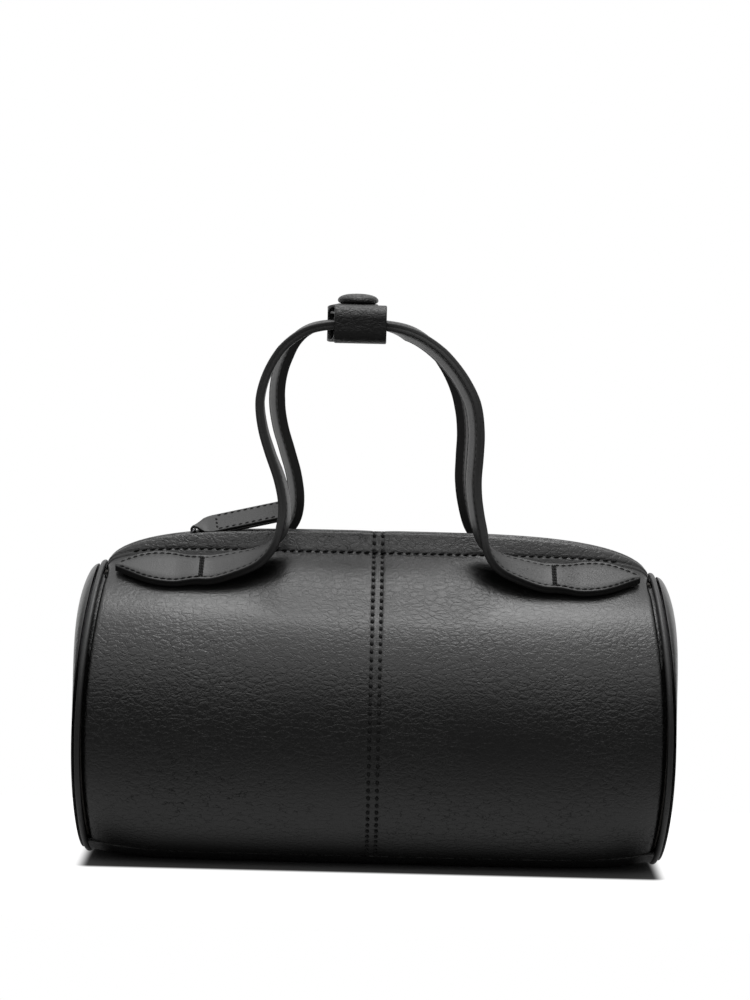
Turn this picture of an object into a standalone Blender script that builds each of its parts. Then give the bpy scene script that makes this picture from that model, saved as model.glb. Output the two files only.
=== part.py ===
# Barrel handbag in pebbled leather: zipped top, two straps tied by a snap keeper.
# Metres, +Z up, +X to the wearer's right in the front view, -Y to the front.
# The origin is at the middle of the flat base.
import math

import bmesh
import bpy
import numpy as np
from mathutils import Matrix, Vector
from mathutils.geometry import interpolate_bezier

# General clearances
GAP = 0.0003
SEAM_GAP = 0.0003

# Barrel: round body with a flat facet below and a raised ridge above
BARREL_RADIUS = 0.0685
BASE_SINK = 0.0017
BARREL_AXIS_Z = BARREL_RADIUS - BASE_SINK
END_RADIUS = 0.0660
END_LIFT = 0.0029
END_AXIS_Z = END_RADIUS + END_LIFT
END_X_WIDEST = 0.1330
END_WIDEST_BELOW_AXIS = 0.0139
END_CURVE_RADIUS = 0.513
LEATHER = 0.0015
BASE_SEAM_DEG = 152.0

# Ridge: the two lips that stand up beside the zip
RIDGE_END_STAND = 0.0006
RIDGE_END_Z = END_AXIS_Z + END_RADIUS + RIDGE_END_STAND
RIDGE_RISE = 0.0172
LIP_HEIGHT = 0.0090
LIP_HEIGHT_END = 0.0015
LIP_OUTER_Y = 0.0090
LIP_INNER_Y = 0.0048

# Inner layers, as depths below the outer surface
BOARD = 0.0018
SEAM_TAPE = 0.0006
SEAM_TAPE_WIDTH = 0.0120
LINING = 0.0008
LINING_SLACK = 0.0008
LINING_TURN_IN = 0.0010
BASE_BOARD_DEG = 26.0

# End panels and their piping
PIPING_RADIUS = 0.00135
PIPING_WALL = 0.00055
PIPING_CORD_RADIUS = 0.0006
PIPING_FLANGE = 0.0050
PIPING_SLIT = 0.0003
PIPING_WRAP_DEG = 150.0
END_DOME = 0.0054
END_HOLLOW = 0.0012
END_BOARD = 0.0015
END_BOARD_MARGIN = 0.0014

# Zip
TAPE_ABOVE_RIDGE_END = 0.0064
TAPE_TOP_Z = RIDGE_END_Z + TAPE_ABOVE_RIDGE_END
TAPE_THICKNESS = 0.0006
TEETH_HALF_LENGTH = 0.0970
TAPE_BEYOND_TEETH = 0.0120
TAPE_HALF_LENGTH = TEETH_HALF_LENGTH + TAPE_BEYOND_TEETH
TAPE_EDGE_Y = 0.0028
TAPE_TURN_UP = 0.0020
TOOTH_PITCH = 0.0040
TOOTH_WIDTH = 0.0013
TOOTH_REACH = 0.0013
TOOTH_BEAD_Y = 0.0016
TEETH_THICKNESS = 0.0021
STOP_LENGTH = 0.0022
COVER_SETBACK = 0.0010
COVER_HALF_WIDTH = 0.0044
COVER_THICKNESS = 0.0012

# Slider, link and pull
SLIDER_LENGTH = 0.0110
SLIDER_STOP_ROOM = 0.0010
SLIDER_REST_X = -(TEETH_HALF_LENGTH - SLIDER_LENGTH / 2.0 - SLIDER_STOP_ROOM)
SLIDER_HALF_WIDTH = 0.0040
SLIDER_TAIL_HALF_WIDTH = 0.0028
SLIDER_PLATE = 0.0012
BRIDGE_LENGTH = 0.0066
BRIDGE_HEIGHT = 0.0036
BRIDGE_WIDTH = 0.0024
BRIDGE_BAR = 0.0010
LINK_WIRE = 0.0007
LINK_HALF_WIDTH = 0.0034
LINK_LENGTH = 0.0080
LINK_CORNER = 0.0014
LINK_PITCH_DEG = 48.0
PULL_LENGTH = 0.0520
PULL_WIDTH = 0.0135
PULL_NECK_WIDTH = 0.0044
PULL_NECK_LENGTH = 0.0075
PULL_LAYER = 0.0012
PULL_PITCH_DEG = 13.2
PULL_ROLL_DEG = 30.0
PULL_SHIFT_Y = 0.0019

# Handles
STRAP_WIDTH = 0.0145
STRAP_LAYER = 0.0018
STRAP_LIFT = 0.0009
STRAP_LIE_HEIGHT = 0.0220
LEAD_IN = 0.0040
LEAD_IN_RISE = 0.00015
FOOT_X = 0.0801
FOOT_DOWN_SLOPE = 0.0186
HANDLE_TOP_Y = 0.0095
HANDLE_RISE = 0.1131
HANDLE_CONVERGE = 1.35
HANDLE_SWAY = 0.140
SWAY_FROM = 0.0366
STRAP_STATIONS = 42
# Half of the arch, from the foot to the top: X, and height over the foot, of the strap's middle line
HANDLE_HALF = (
    (0.0680, 0.0021),
    (0.0565, 0.0061),
    (0.0480, 0.0129),
    (0.0430, 0.0216),
    (0.0412, 0.0316),
    (0.0415, 0.0426),
    (0.0434, 0.0536),
    (0.0452, 0.0646),
    (0.0454, 0.0756),
    (0.0432, 0.0856),
    (0.0385, 0.0956),
    (0.0315, 0.1046),
    (0.0230, 0.1104),
    (0.0120, 0.1128),
)
# Turn of the strap about the vertical, in degrees, against its height over the foot
STRAP_TURN = ((0.0006, 20.0), (0.0226, 29.0), (0.0546, 37.0), (0.0776, 37.0), (0.0996, 22.0), (0.1131, 0.0))

# Handle tabs: distance from the neck towards the tip, and half width
TAB_THICKNESS = 0.0034
TAB_LENGTH = 0.0398
TAB_OUTLINE = (
    (0.0, 0.00725),
    (0.0035, 0.0078),
    (0.0080, 0.0094),
    (0.0125, 0.0105),
    (0.0175, 0.0109),
    (0.0230, 0.0102),
    (0.0285, 0.0083),
    (0.0335, 0.0056),
    (0.0370, 0.0034),
    (TAB_LENGTH, 0.0012),
)
# The tip lies this much nearer to the ridge than the neck does
TAB_TIP_RISE = 0.0062
PATCH_START = 0.0030
PATCH_LENGTH = 0.0260
PATCH_WIDTH = 0.0190
PATCH_DROP = 0.0004

# Keeper round the two handles
KEEPER_WIDTH = 0.0240
KEEPER_LEATHER = 0.0013
KEEPER_SIDE_ROOM = 0.0084
KEEPER_ROOM_BELOW = 0.0072
KEEPER_ROOM_ABOVE = 0.0061
KEEPER_CORNER = 0.0049
KEEPER_PINCH = 0.0021
PINCH_REACH = 0.0050
TONGUE_DIP = 0.0017
TONGUE_END_Y = 0.0060
TONGUE_FLAT = 0.0040
TONGUE_RAMP = 0.0035
FLAP_RISE = 0.0020
FLAP_END_Y = -0.0095

# Snap
SNAP_SHIFT_X = -0.0014
CAP_RADIUS = 0.0094
CAP_HEIGHT = 0.0046
CAP_BEVEL = 0.0012
SOCKET_RADIUS = 0.0040
SOCKET_BORE = 0.0024
SOCKET_HEIGHT = 0.0015
STUD_RADIUS = 0.0034
STUD_FLANGE = 0.0004
STUD_POST = 0.0015
STUD_POST_RADIUS = 0.0016
STUD_POST_BEVEL = 0.0005
SNAP_SHANK = 0.0012
SNAP_SEAT = 0.0001
POST_HEAD = 0.0004

LEATHER_BLACK = ((0.018, 0.018, 0.019), 0.5, 0.0)
LINING_BLACK = ((0.020, 0.020, 0.022), 0.85, 0.0)
BOARD_GREY = ((0.22, 0.21, 0.20), 0.9, 0.0)
PAD_GREY = ((0.30, 0.30, 0.31), 0.95, 0.0)
METAL_DARK = ((0.07, 0.07, 0.075), 0.3, 1.0)
TEETH_BLACK = ((0.02, 0.02, 0.02), 0.4, 0.0)

SECTION_STEPS = 9
RING_SEGMENTS = 28
PIPING_STEPS = 5
CORD_SIDES = 5
PAD_RINGS = (0.5, 0.83, 1.0)
STATIONS = (0.0, 0.30, 0.56, 0.72, 0.80, 0.86, 0.91, 0.95, 0.98, 1.0)
LINING_STATIONS = (0.0, 0.56, 0.82, 0.93, 1.0)


def clear_scene():
    for item in list(bpy.data.objects):
        bpy.data.objects.remove(item, do_unlink=True)


def finish_material(name, look):
    """One Principled material for each finish, made the first time it is asked for."""
    if name in bpy.data.materials:
        return bpy.data.materials[name]
    colour, roughness, metallic = look
    made = bpy.data.materials.new(name)
    made.use_nodes = True
    shader = made.node_tree.nodes["Principled BSDF"]
    shader.inputs["Base Color"].default_value = (*colour, 1.0)
    shader.inputs["Roughness"].default_value = roughness
    shader.inputs["Metallic"].default_value = metallic
    return made


def add_object(name, mesh, material, smooth_deg=35.0):
    mesh.materials.append(material)
    mesh.shade_smooth()
    mesh.set_sharp_from_angle(angle=math.radians(smooth_deg))
    made = bpy.data.objects.new(name, mesh)
    bpy.context.collection.objects.link(made)
    return made


def mesh_from_bmesh(name, bm):
    bmesh.ops.remove_doubles(bm, verts=bm.verts, dist=1e-6)
    bmesh.ops.recalc_face_normals(bm, faces=bm.faces)
    mesh = bpy.data.meshes.new(name)
    bm.to_mesh(mesh)
    bm.free()
    return mesh


def sheet(name, outer, inner, material, loop=False, smooth_deg=35.0):
    """A closed wall between two grids of points. With loop, the last row joins the first."""
    bm = bmesh.new()
    rows = len(outer)
    columns = len(outer[0])
    front = [[bm.verts.new(point) for point in row] for row in outer]
    back = [[bm.verts.new(point) for point in row] for row in inner]
    for i in range(rows if loop else rows - 1):
        k = (i + 1) % rows
        for j in range(columns - 1):
            bm.faces.new((front[i][j], front[k][j], front[k][j + 1], front[i][j + 1]))
            bm.faces.new((back[i][j], back[i][j + 1], back[k][j + 1], back[k][j]))
        for j in (0, columns - 1):
            bm.faces.new((front[i][j], back[i][j], back[k][j], front[k][j]))
    if not loop:
        for i in (0, rows - 1):
            for j in range(columns - 1):
                bm.faces.new((front[i][j], front[i][j + 1], back[i][j + 1], back[i][j]))
    return add_object(name, mesh_from_bmesh(name, bm), material, smooth_deg)


def swept_ring(name, sections, material, loop=True, smooth_deg=50.0):
    """A closed skin through equal closed sections, capped at the ends unless it loops."""
    bm = bmesh.new()
    rings = [[bm.verts.new(point) for point in section] for section in sections]
    count = len(rings[0])
    for i in range(len(rings) if loop else len(rings) - 1):
        k = (i + 1) % len(rings)
        for j in range(count):
            m = (j + 1) % count
            bm.faces.new((rings[i][j], rings[i][m], rings[k][m], rings[k][j]))
    if not loop:
        bm.faces.new(rings[0])
        bm.faces.new(rings[-1])
    return add_object(name, mesh_from_bmesh(name, bm), material, smooth_deg)


def prism(name, outline, low, high, material, place=None):
    """A flat outline in X and Y, extruded from low to high, then placed by a matrix."""
    bm = bmesh.new()
    face = bm.faces.new([bm.verts.new((x, y, low)) for x, y in outline])
    raised = bmesh.ops.extrude_face_region(bm, geom=[face])
    lifted = [item for item in raised["geom"] if isinstance(item, bmesh.types.BMVert)]
    bmesh.ops.translate(bm, verts=lifted, vec=(0.0, 0.0, high - low))
    if place is not None:
        bm.transform(place)
    return add_object(name, mesh_from_bmesh(name, bm), material)


def turned(name, profile, centre, material, steps=24):
    """A profile of radius and height, spun about the vertical line through the centre."""
    bm = bmesh.new()
    points = [bm.verts.new((radius, 0.0, height)) for radius, height in profile]
    edges = [bm.edges.new((points[i], points[i + 1])) for i in range(len(points) - 1)]
    if profile[0][0] > 0.0:
        edges.append(bm.edges.new((points[-1], points[0])))
    bmesh.ops.spin(
        bm,
        geom=points + edges,
        cent=(0.0, 0.0, 0.0),
        axis=(0.0, 0.0, 1.0),
        angle=math.tau,
        steps=steps,
        use_merge=True,
    )
    bmesh.ops.translate(bm, verts=bm.verts, vec=centre)
    return add_object(name, mesh_from_bmesh(name, bm), material)


def pivot(name, place):
    """An empty on a joint's axis that carries the pieces which move with it."""
    made = bpy.data.objects.new(name, None)
    made.empty_display_size = 0.01
    made.location = place
    bpy.context.collection.objects.link(made)
    return made


def hang_on(parent, pieces, place):
    for piece in pieces:
        piece.parent = parent
        piece.matrix_parent_inverse = Matrix.Translation(place).inverted()


def smooth_line(points, steps):
    """A smooth curve through the points, with the given number of steps on each stretch."""
    points = [Vector(point) for point in points]
    line = []
    for i in range(len(points) - 1):
        before = points[max(i - 1, 0)]
        after = points[min(i + 2, len(points) - 1)]
        handle_a = points[i] + (points[i + 1] - before) / 6.0
        handle_b = points[i + 1] - (after - points[i]) / 6.0
        piece = interpolate_bezier(points[i], handle_a, handle_b, points[i + 1], steps + 1)
        line.extend(piece if i == 0 else piece[1:])
    return line


def resample(line, count):
    """The line again, with count points at even distances."""
    array = np.array([tuple(point) for point in line])
    lengths = np.r_[0.0, np.cumsum(np.linalg.norm(np.diff(array, axis=0), axis=1))]
    wanted = np.linspace(0.0, lengths[-1], count)
    columns = [np.interp(wanted, lengths, array[:, axis]) for axis in range(array.shape[1])]
    return np.stack(columns, axis=1)


# Barrel sections


def end_x(z):
    """Distance of the end seam from the middle: the ends curve in towards the top."""
    above_widest = z - (END_AXIS_Z - END_WIDEST_BELOW_AXIS)
    return END_X_WIDEST - above_widest ** 2 / (2.0 * END_CURVE_RADIUS)


def seam_reach():
    """How far the barrel's edge stays back from the end seam, so that it meets the piping."""
    return PIPING_RADIUS + GAP


def section_x(x, z):
    """Which section stands at distance x for a point at height z, as place_section spreads them."""
    return x * END_X_WIDEST / (end_x(z) - seam_reach())


def ridge_fall(x):
    return max(0.0, 1.0 - (abs(x) / END_X_WIDEST) ** 4)


def ridge_z(x):
    return RIDGE_END_Z + RIDGE_RISE * math.sqrt(ridge_fall(x))


def swell(x):
    return 1.0 - min(1.0, abs(x) / END_X_WIDEST) ** 8


def barrel_circle(x):
    """Radius and axis height of the round section at x."""
    full = swell(x)
    radius = END_RADIUS + (BARREL_RADIUS - END_RADIUS) * full
    axis_z = END_AXIS_Z + (BARREL_AXIS_Z - END_AXIS_Z) * full
    return radius, axis_z


def hem_z(x):
    """Height of the crease between slope and lip, never inside the round section."""
    radius, axis_z = barrel_circle(x)
    round_z = axis_z + math.sqrt(radius ** 2 - LIP_OUTER_Y ** 2) + GAP
    lip = LIP_HEIGHT_END + (LIP_HEIGHT - LIP_HEIGHT_END) * ridge_fall(x)
    return max(round_z, ridge_z(x) - lip)


def tangent_angle(x):
    """Angle from the top at which the round section turns into the straight slope."""
    radius, axis_z = barrel_circle(x)
    rise = hem_z(x) - axis_z
    reach = math.hypot(LIP_OUTER_Y, rise)
    return math.atan2(LIP_OUTER_Y, rise) + math.acos(min(1.0, radius / reach))


def round_point(x, angle):
    """Point on the round section, as distance from the middle plane and height."""
    radius, axis_z = barrel_circle(x)
    return radius * math.sin(angle), max(0.0, axis_z + radius * math.cos(angle))


def offset_line(points, depth):
    """The open line moved to its right-hand side by depth, with mitred corners."""
    array = np.array(points)
    steps = np.diff(array, axis=0)
    steps /= np.linalg.norm(steps, axis=1)[:, None]
    normals = np.stack([steps[:, 1], -steps[:, 0]], axis=1)
    before = np.vstack([normals[:1], normals])
    after = np.vstack([normals, normals[-1:]])
    mitre = before + after
    mitre /= np.sum(before * mitre, axis=1)[:, None]
    return array + mitre * depth


def slope_line(x, start_angle, end_y):
    """Section from start_angle up the round side and the slope, in to distance end_y."""
    tangent = tangent_angle(x)
    angles = np.linspace(start_angle, tangent, SECTION_STEPS)
    points = [round_point(x, angle) for angle in angles]
    top_y, top_z = points[-1]
    run = top_y - LIP_OUTER_Y
    rise = math.tan(tangent)
    for share in (0.5, 1.0):
        points.append((top_y - run * share, top_z + run * share * rise))
    if end_y < LIP_OUTER_Y:
        points.append((end_y, hem_z(x) + (LIP_OUTER_Y - end_y) * rise))
    return points


def fold_arc(half_width, height, top_z):
    """Half an ellipse over the middle of a lip, from its outer to its inner side."""
    middle_y = (LIP_OUTER_Y + LIP_INNER_Y) / 2.0
    arc = []
    for angle in np.linspace(0.0, math.pi, 5):
        arc.append((middle_y + half_width * math.cos(angle), top_z - height * (1.0 - math.sin(angle))))
    return arc


def panel_lines(x):
    """Outer and inner section of a side panel: round side, slope, lip, fold and turn-down."""
    tangent = tangent_angle(x)
    outer = slope_line(x, math.radians(BASE_SEAM_DEG) - SEAM_GAP / BARREL_RADIUS, LIP_OUTER_Y)
    inner = [tuple(point) for point in offset_line(outer, -LEATHER)]
    inner[-1] = (
        LIP_OUTER_Y - LEATHER,
        outer[-1][1] + LEATHER * (math.tan(tangent) - 1.0 / math.cos(tangent)),
    )
    lip = ridge_z(x) - hem_z(x)
    half = (LIP_OUTER_Y - LIP_INNER_Y) / 2.0
    room = half - LEATHER
    outer += fold_arc(half, min(half, 0.8 * lip), ridge_z(x))
    inner += fold_arc(room, min(room, 0.3 * lip), ridge_z(x) - LEATHER)
    turn_down_z = min(TAPE_TOP_Z + GAP, ridge_z(x) - half - LEATHER)
    outer.append((LIP_INNER_Y, turn_down_z))
    inner.append((LIP_INNER_Y + LEATHER, turn_down_z))
    return outer, inner


def place_section(x_share, reach, points, front):
    """Points of one section in space. front is -1 for the front half and 1 for the rear."""
    placed = []
    for y, z in points:
        limit = end_x(z) - reach
        placed.append((x_share * limit, front * y, z))
    return placed


def wall_from_sections(name, shares, reach, line_at, depth, thickness, front, material):
    """A wall whose outer face lies at depth under the barrel's outer surface."""
    outer = []
    inner = []
    for share in shares:
        x = share * END_X_WIDEST
        line = line_at(x)
        side = np.array(line) if depth == 0.0 else offset_line(line, -depth)
        outer.append(place_section(share, reach, side, front))
        inner.append(place_section(share, reach, offset_line(line, -depth - thickness), front))
    return sheet(name, outer, inner, material)


def build_side_panels(leather):
    """Four side panels: front and rear, each sewn from a left and a right half."""
    middle = SEAM_GAP / 2.0 / END_X_WIDEST
    for row, front in (("front", -1.0), ("rear", 1.0)):
        for half, side in (("left", -1.0), ("right", 1.0)):
            outer = []
            inner = []
            for share in STATIONS:
                place = side * max(share, middle)
                lines = panel_lines(place * END_X_WIDEST)
                outer.append(place_section(place, seam_reach(), lines[0], front))
                inner.append(place_section(place, seam_reach(), lines[1], front))
            sheet(f"{row}_panel_{half}", outer, inner, leather)


def base_line(x):
    """Section across the base, from the front seam over the flat facet to the rear seam."""
    return under_line(x, math.radians(BASE_SEAM_DEG) + SEAM_GAP / BARREL_RADIUS)


def under_line(x, edge):
    """Section below the barrel between two equal angles, with the facet's own corners."""
    radius, axis_z = barrel_circle(x)
    facet = math.pi - math.acos(min(math.cos(math.radians(4.0)), axis_z / radius))
    angles = [edge, (edge + facet) / 2.0, facet, math.pi]
    angles += [math.tau - angle for angle in reversed(angles[:3])]
    return [round_point(x, angle) for angle in reversed(angles)]


def both_ways(stations):
    return [-share for share in reversed(stations)] + list(stations[1:])


def build_base_panel(leather):
    wall_from_sections(
        "base_panel", both_ways(STATIONS), seam_reach(), base_line, 0.0, LEATHER, 1.0, leather
    )


def board_line(x):
    return under_line(x, math.pi - math.radians(BASE_BOARD_DEG))


def build_base_board(board):
    shares = both_ways(LINING_STATIONS[:-1])
    wall_from_sections("base_board", shares, seam_reach(), board_line, LEATHER + GAP, BOARD, 1.0, board)


def lining_depth():
    return LEATHER + GAP + BOARD + LINING_SLACK


def lining_line(x):
    """Whole section of the lining, from the front of the zip round the base to its rear."""
    half = slope_line(x, math.radians(BASE_SEAM_DEG), LIP_OUTER_Y - LINING_TURN_IN)
    front_half = [(-y, z) for y, z in reversed(half)]
    return front_half + base_line(x)[1:-1] + half


def build_lining(cloth):
    """The lining barrel hangs from the zip tapes and ends against the end boards."""
    reach = PIPING_SLIT + PIPING_WALL + GAP + END_BOARD + GAP
    outer = []
    inner = []
    for share in both_ways(LINING_STATIONS):
        line = lining_line(share * END_X_WIDEST)
        side = offset_line(line, -lining_depth())
        deep = offset_line(line, -lining_depth() - LINING)
        outer.append(place_section(share, reach, side, 1.0))
        inner.append(place_section(share, reach, deep, 1.0))
    sheet("lining_barrel", outer, inner, cloth)


def build_seam_tapes(cloth):
    """A tape behind each centre seam, held by the two rows of stitches."""
    half = SEAM_TAPE_WIDTH / 2.0 / END_X_WIDEST
    for row, front in (("front", -1.0), ("rear", 1.0)):
        wall_from_sections(
            f"seam_tape_{row}",
            (-half, half),
            seam_reach(),
            lambda x: slope_line(x, math.radians(BASE_SEAM_DEG), LIP_OUTER_Y + LEATHER)[:-1],
            LEATHER + GAP,
            SEAM_TAPE,
            front,
            cloth,
        )


# Ends


def ring_point(angle, radius, outward, side):
    """Point of an end: angle from the top, radius, and distance outward of the seam."""
    y = radius * math.sin(angle)
    z = END_AXIS_Z + radius * math.cos(angle)
    return (side * (end_x(z) + outward), y, z)


def ring_angles():
    return [math.tau * i / RING_SEGMENTS for i in range(RING_SEGMENTS)]


def dome(radius, edge):
    """Bulge of the end panel: a rolled rim round a slightly hollow middle."""
    share = min(1.0, radius / edge)
    rim = math.sqrt(max(0.0, 1.0 - share ** 6))
    return END_DOME * rim - END_HOLLOW * (1.0 - share ** 2) ** 2


def disc(name, outer_at, inner_at, radii, side, material):
    """A closed round plate between two surfaces given as distances outward of the seam."""
    bm = bmesh.new()
    layers = []
    for height_at in (outer_at, inner_at):
        rows = []
        for radius in radii:
            ring = [ring_point(angle, radius, height_at(radius), side) for angle in ring_angles()]
            rows.append([bm.verts.new(point) for point in ring])
        centre = bm.verts.new(ring_point(0.0, 0.0, height_at(0.0), side))
        for j in range(RING_SEGMENTS):
            m = (j + 1) % RING_SEGMENTS
            bm.faces.new((centre, rows[0][j], rows[0][m]))
            for low, high in zip(rows, rows[1:]):
                bm.faces.new((low[j], high[j], high[m], low[m]))
        layers.append(rows[-1])
    for j in range(RING_SEGMENTS):
        m = (j + 1) % RING_SEGMENTS
        bm.faces.new((layers[0][j], layers[1][j], layers[1][m], layers[0][m]))
    return add_object(name, mesh_from_bmesh(name, bm), material)


def build_end(half, side, leather, pad, board, cloth):
    """One end: panel, pad, board and lining disc, seated on the piping's flange."""
    edge = END_RADIUS - GAP
    inner_edge = edge - LEATHER
    seat = PIPING_SLIT + PIPING_WALL + GAP
    pad_radii = [(inner_edge - PIPING_FLANGE) * share for share in PAD_RINGS]
    panel_radii = pad_radii + [inner_edge, edge]

    def panel_outer(radius):
        return seat + LEATHER + dome(radius, edge)

    def panel_inner(radius):
        share = min(1.0, radius / inner_edge)
        return seat + dome(share * edge, edge)

    disc(f"end_panel_{half}", panel_outer, panel_inner, panel_radii, side, leather)

    def pad_outer(radius):
        return panel_inner(radius) - GAP

    disc(f"end_pad_{half}", pad_outer, lambda radius: -PIPING_SLIT, pad_radii, side, pad)

    board_edge = END_RADIUS - LEATHER - END_BOARD_MARGIN
    board_top = -seat
    flat_radii = [board_edge * share for share in (0.5, 1.0)]
    disc(
        f"end_board_{half}",
        lambda radius: board_top,
        lambda radius: board_top - END_BOARD,
        flat_radii,
        side,
        board,
    )
    lining_edge = END_RADIUS - lining_depth() - LINING - END_BOARD_MARGIN
    lining_radii = [lining_edge * share for share in (0.5, 1.0)]
    lining_top = board_top - END_BOARD - GAP
    disc(
        f"lining_end_{half}",
        lambda radius: lining_top,
        lambda radius: lining_top - LINING,
        lining_radii,
        side,
        cloth,
    )


def piping_axis_radius():
    return END_RADIUS + GAP


def build_piping(half, side, leather, cord):
    """Leather wrapped round a cord, its two layers sewn into the seam as a flange."""
    axis_radius = piping_axis_radius()
    flange_inner = END_RADIUS - LEATHER - PIPING_FLANGE
    slit = PIPING_SLIT / 2.0
    wrap = math.radians(PIPING_WRAP_DEG)
    outline = []
    for angle in np.linspace(-wrap, wrap, PIPING_STEPS):
        outline.append((axis_radius + PIPING_RADIUS * math.cos(angle), PIPING_RADIUS * math.sin(angle)))
    leg = slit + PIPING_WALL
    outline += [(flange_inner, leg), (flange_inner, slit)]
    bore = PIPING_RADIUS - PIPING_WALL
    for angle in np.linspace(wrap, -wrap, PIPING_STEPS):
        outline.append((axis_radius + bore * math.cos(angle), bore * math.sin(angle)))
    outline += [(flange_inner, -slit), (flange_inner, -leg)]
    sections = [[ring_point(a, r, out, side) for r, out in outline] for a in ring_angles()]
    swept_ring(f"piping_{half}", sections, leather)
    core = [math.tau * i / CORD_SIDES for i in range(CORD_SIDES)]
    sections = []
    for a in ring_angles():
        sections.append(
            [
                ring_point(
                    a,
                    axis_radius + PIPING_CORD_RADIUS * math.cos(c),
                    PIPING_CORD_RADIUS * math.sin(c),
                    side,
                )
                for c in core
            ]
        )
    swept_ring(f"piping_cord_{half}", sections, cord)


# Zip


def build_zip_tapes(cloth):
    """Each tape lies flat beside the teeth and turns up inside the fold of its lip."""
    middle_y = (LIP_OUTER_Y + LIP_INNER_Y) / 2.0
    low_z = TAPE_TOP_Z - TAPE_THICKNESS / 2.0
    half = TAPE_THICKNESS / 2.0
    line = [
        (TAPE_EDGE_Y, low_z),
        (middle_y, low_z),
        (middle_y, TAPE_TOP_Z + TAPE_TURN_UP),
    ]
    for row, front in (("front", -1.0), ("rear", 1.0)):
        grids = []
        for depth in (-half, half):
            moved = offset_line(line, depth)
            grids.append(
                [[(x, front * y, z) for y, z in moved] for x in (-TAPE_HALF_LENGTH, TAPE_HALF_LENGTH)]
            )
        sheet(f"zip_tape_{row}", grids[0], grids[1], cloth)


def teeth_centre_z():
    return TAPE_TOP_Z - TAPE_THICKNESS / 2.0


def comb_outline(shift, front):
    """A row of teeth on its bead, seen from above."""
    back_y = TAPE_EDGE_Y - GAP
    count = int(2.0 * TEETH_HALF_LENGTH / TOOTH_PITCH) - 1
    start = -(count - 1) * TOOTH_PITCH / 2.0 + shift
    outline = [(-TEETH_HALF_LENGTH, back_y), (-TEETH_HALF_LENGTH, TOOTH_BEAD_Y)]
    for i in range(count):
        x = start + i * TOOTH_PITCH
        outline += [
            (x - TOOTH_WIDTH / 2.0, TOOTH_BEAD_Y),
            (x - TOOTH_WIDTH * 0.4, -TOOTH_REACH),
            (x + TOOTH_WIDTH * 0.4, -TOOTH_REACH),
            (x + TOOTH_WIDTH / 2.0, TOOTH_BEAD_Y),
        ]
    outline += [(TEETH_HALF_LENGTH, TOOTH_BEAD_Y), (TEETH_HALF_LENGTH, back_y)]
    return [(x, front * y) for x, y in outline]


def build_zip_teeth(teeth):
    """The two rows mesh: each tooth of one row stands between two teeth of the other."""
    low = teeth_centre_z() - TEETH_THICKNESS / 2.0
    high = low + TEETH_THICKNESS
    prism("zip_teeth_front", comb_outline(-TOOTH_PITCH / 4.0, -1.0), low, high, teeth)
    prism("zip_teeth_rear", comb_outline(TOOTH_PITCH / 4.0, 1.0), low, high, teeth)


def box_outline(x0, x1, half_width):
    return [(x0, -half_width), (x1, -half_width), (x1, half_width), (x0, half_width)]


def build_zip_ends(metal, leather):
    """A metal stop past the last tooth and a leather cover over each end of the tapes."""
    low = teeth_centre_z() - TEETH_THICKNESS / 2.0
    for half, side in (("left", -1.0), ("right", 1.0)):
        start = TEETH_HALF_LENGTH + GAP
        outline = box_outline(side * start, side * (start + STOP_LENGTH), TAPE_EDGE_Y - GAP)
        prism(f"zip_stop_{half}", outline, low, low + TEETH_THICKNESS, metal)
        cover_start = start + STOP_LENGTH + GAP
        cover_end = end_x(RIDGE_END_Z) - seam_reach() - COVER_SETBACK
        top = []
        under = []
        for share in (0.0, 0.35, 0.65, 0.85, 1.0):
            x = cover_start + (cover_end - cover_start) * share
            top_z = ridge_z(section_x(x, RIDGE_END_Z)) - LIP_HEIGHT_END
            z = min(TAPE_TOP_Z + GAP, top_z - COVER_THICKNESS)
            half_widths = (-COVER_HALF_WIDTH, COVER_HALF_WIDTH)
            top.append([(side * x, y, z + COVER_THICKNESS) for y in half_widths])
            under.append([(side * x, y, z) for y in half_widths])
        sheet(f"zip_cover_{half}", top, under, leather)


def slider_outline():
    """The slider's plate is wide where the rows part and narrow where they are closed."""
    half = SLIDER_LENGTH / 2.0
    wide = SLIDER_HALF_WIDTH
    narrow = SLIDER_TAIL_HALF_WIDTH
    upper = [
        (-half, 0.6 * wide),
        (-0.7 * half, wide),
        (-0.1 * half, wide),
        (0.8 * half, narrow),
        (half, 0.7 * narrow),
    ]
    lower = [(x, -y) for x, y in reversed(upper)]
    return [(SLIDER_REST_X + x, y) for x, y in upper + lower]


def plate_top_z():
    return teeth_centre_z() + TEETH_THICKNESS / 2.0 + GAP + SLIDER_PLATE


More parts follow.
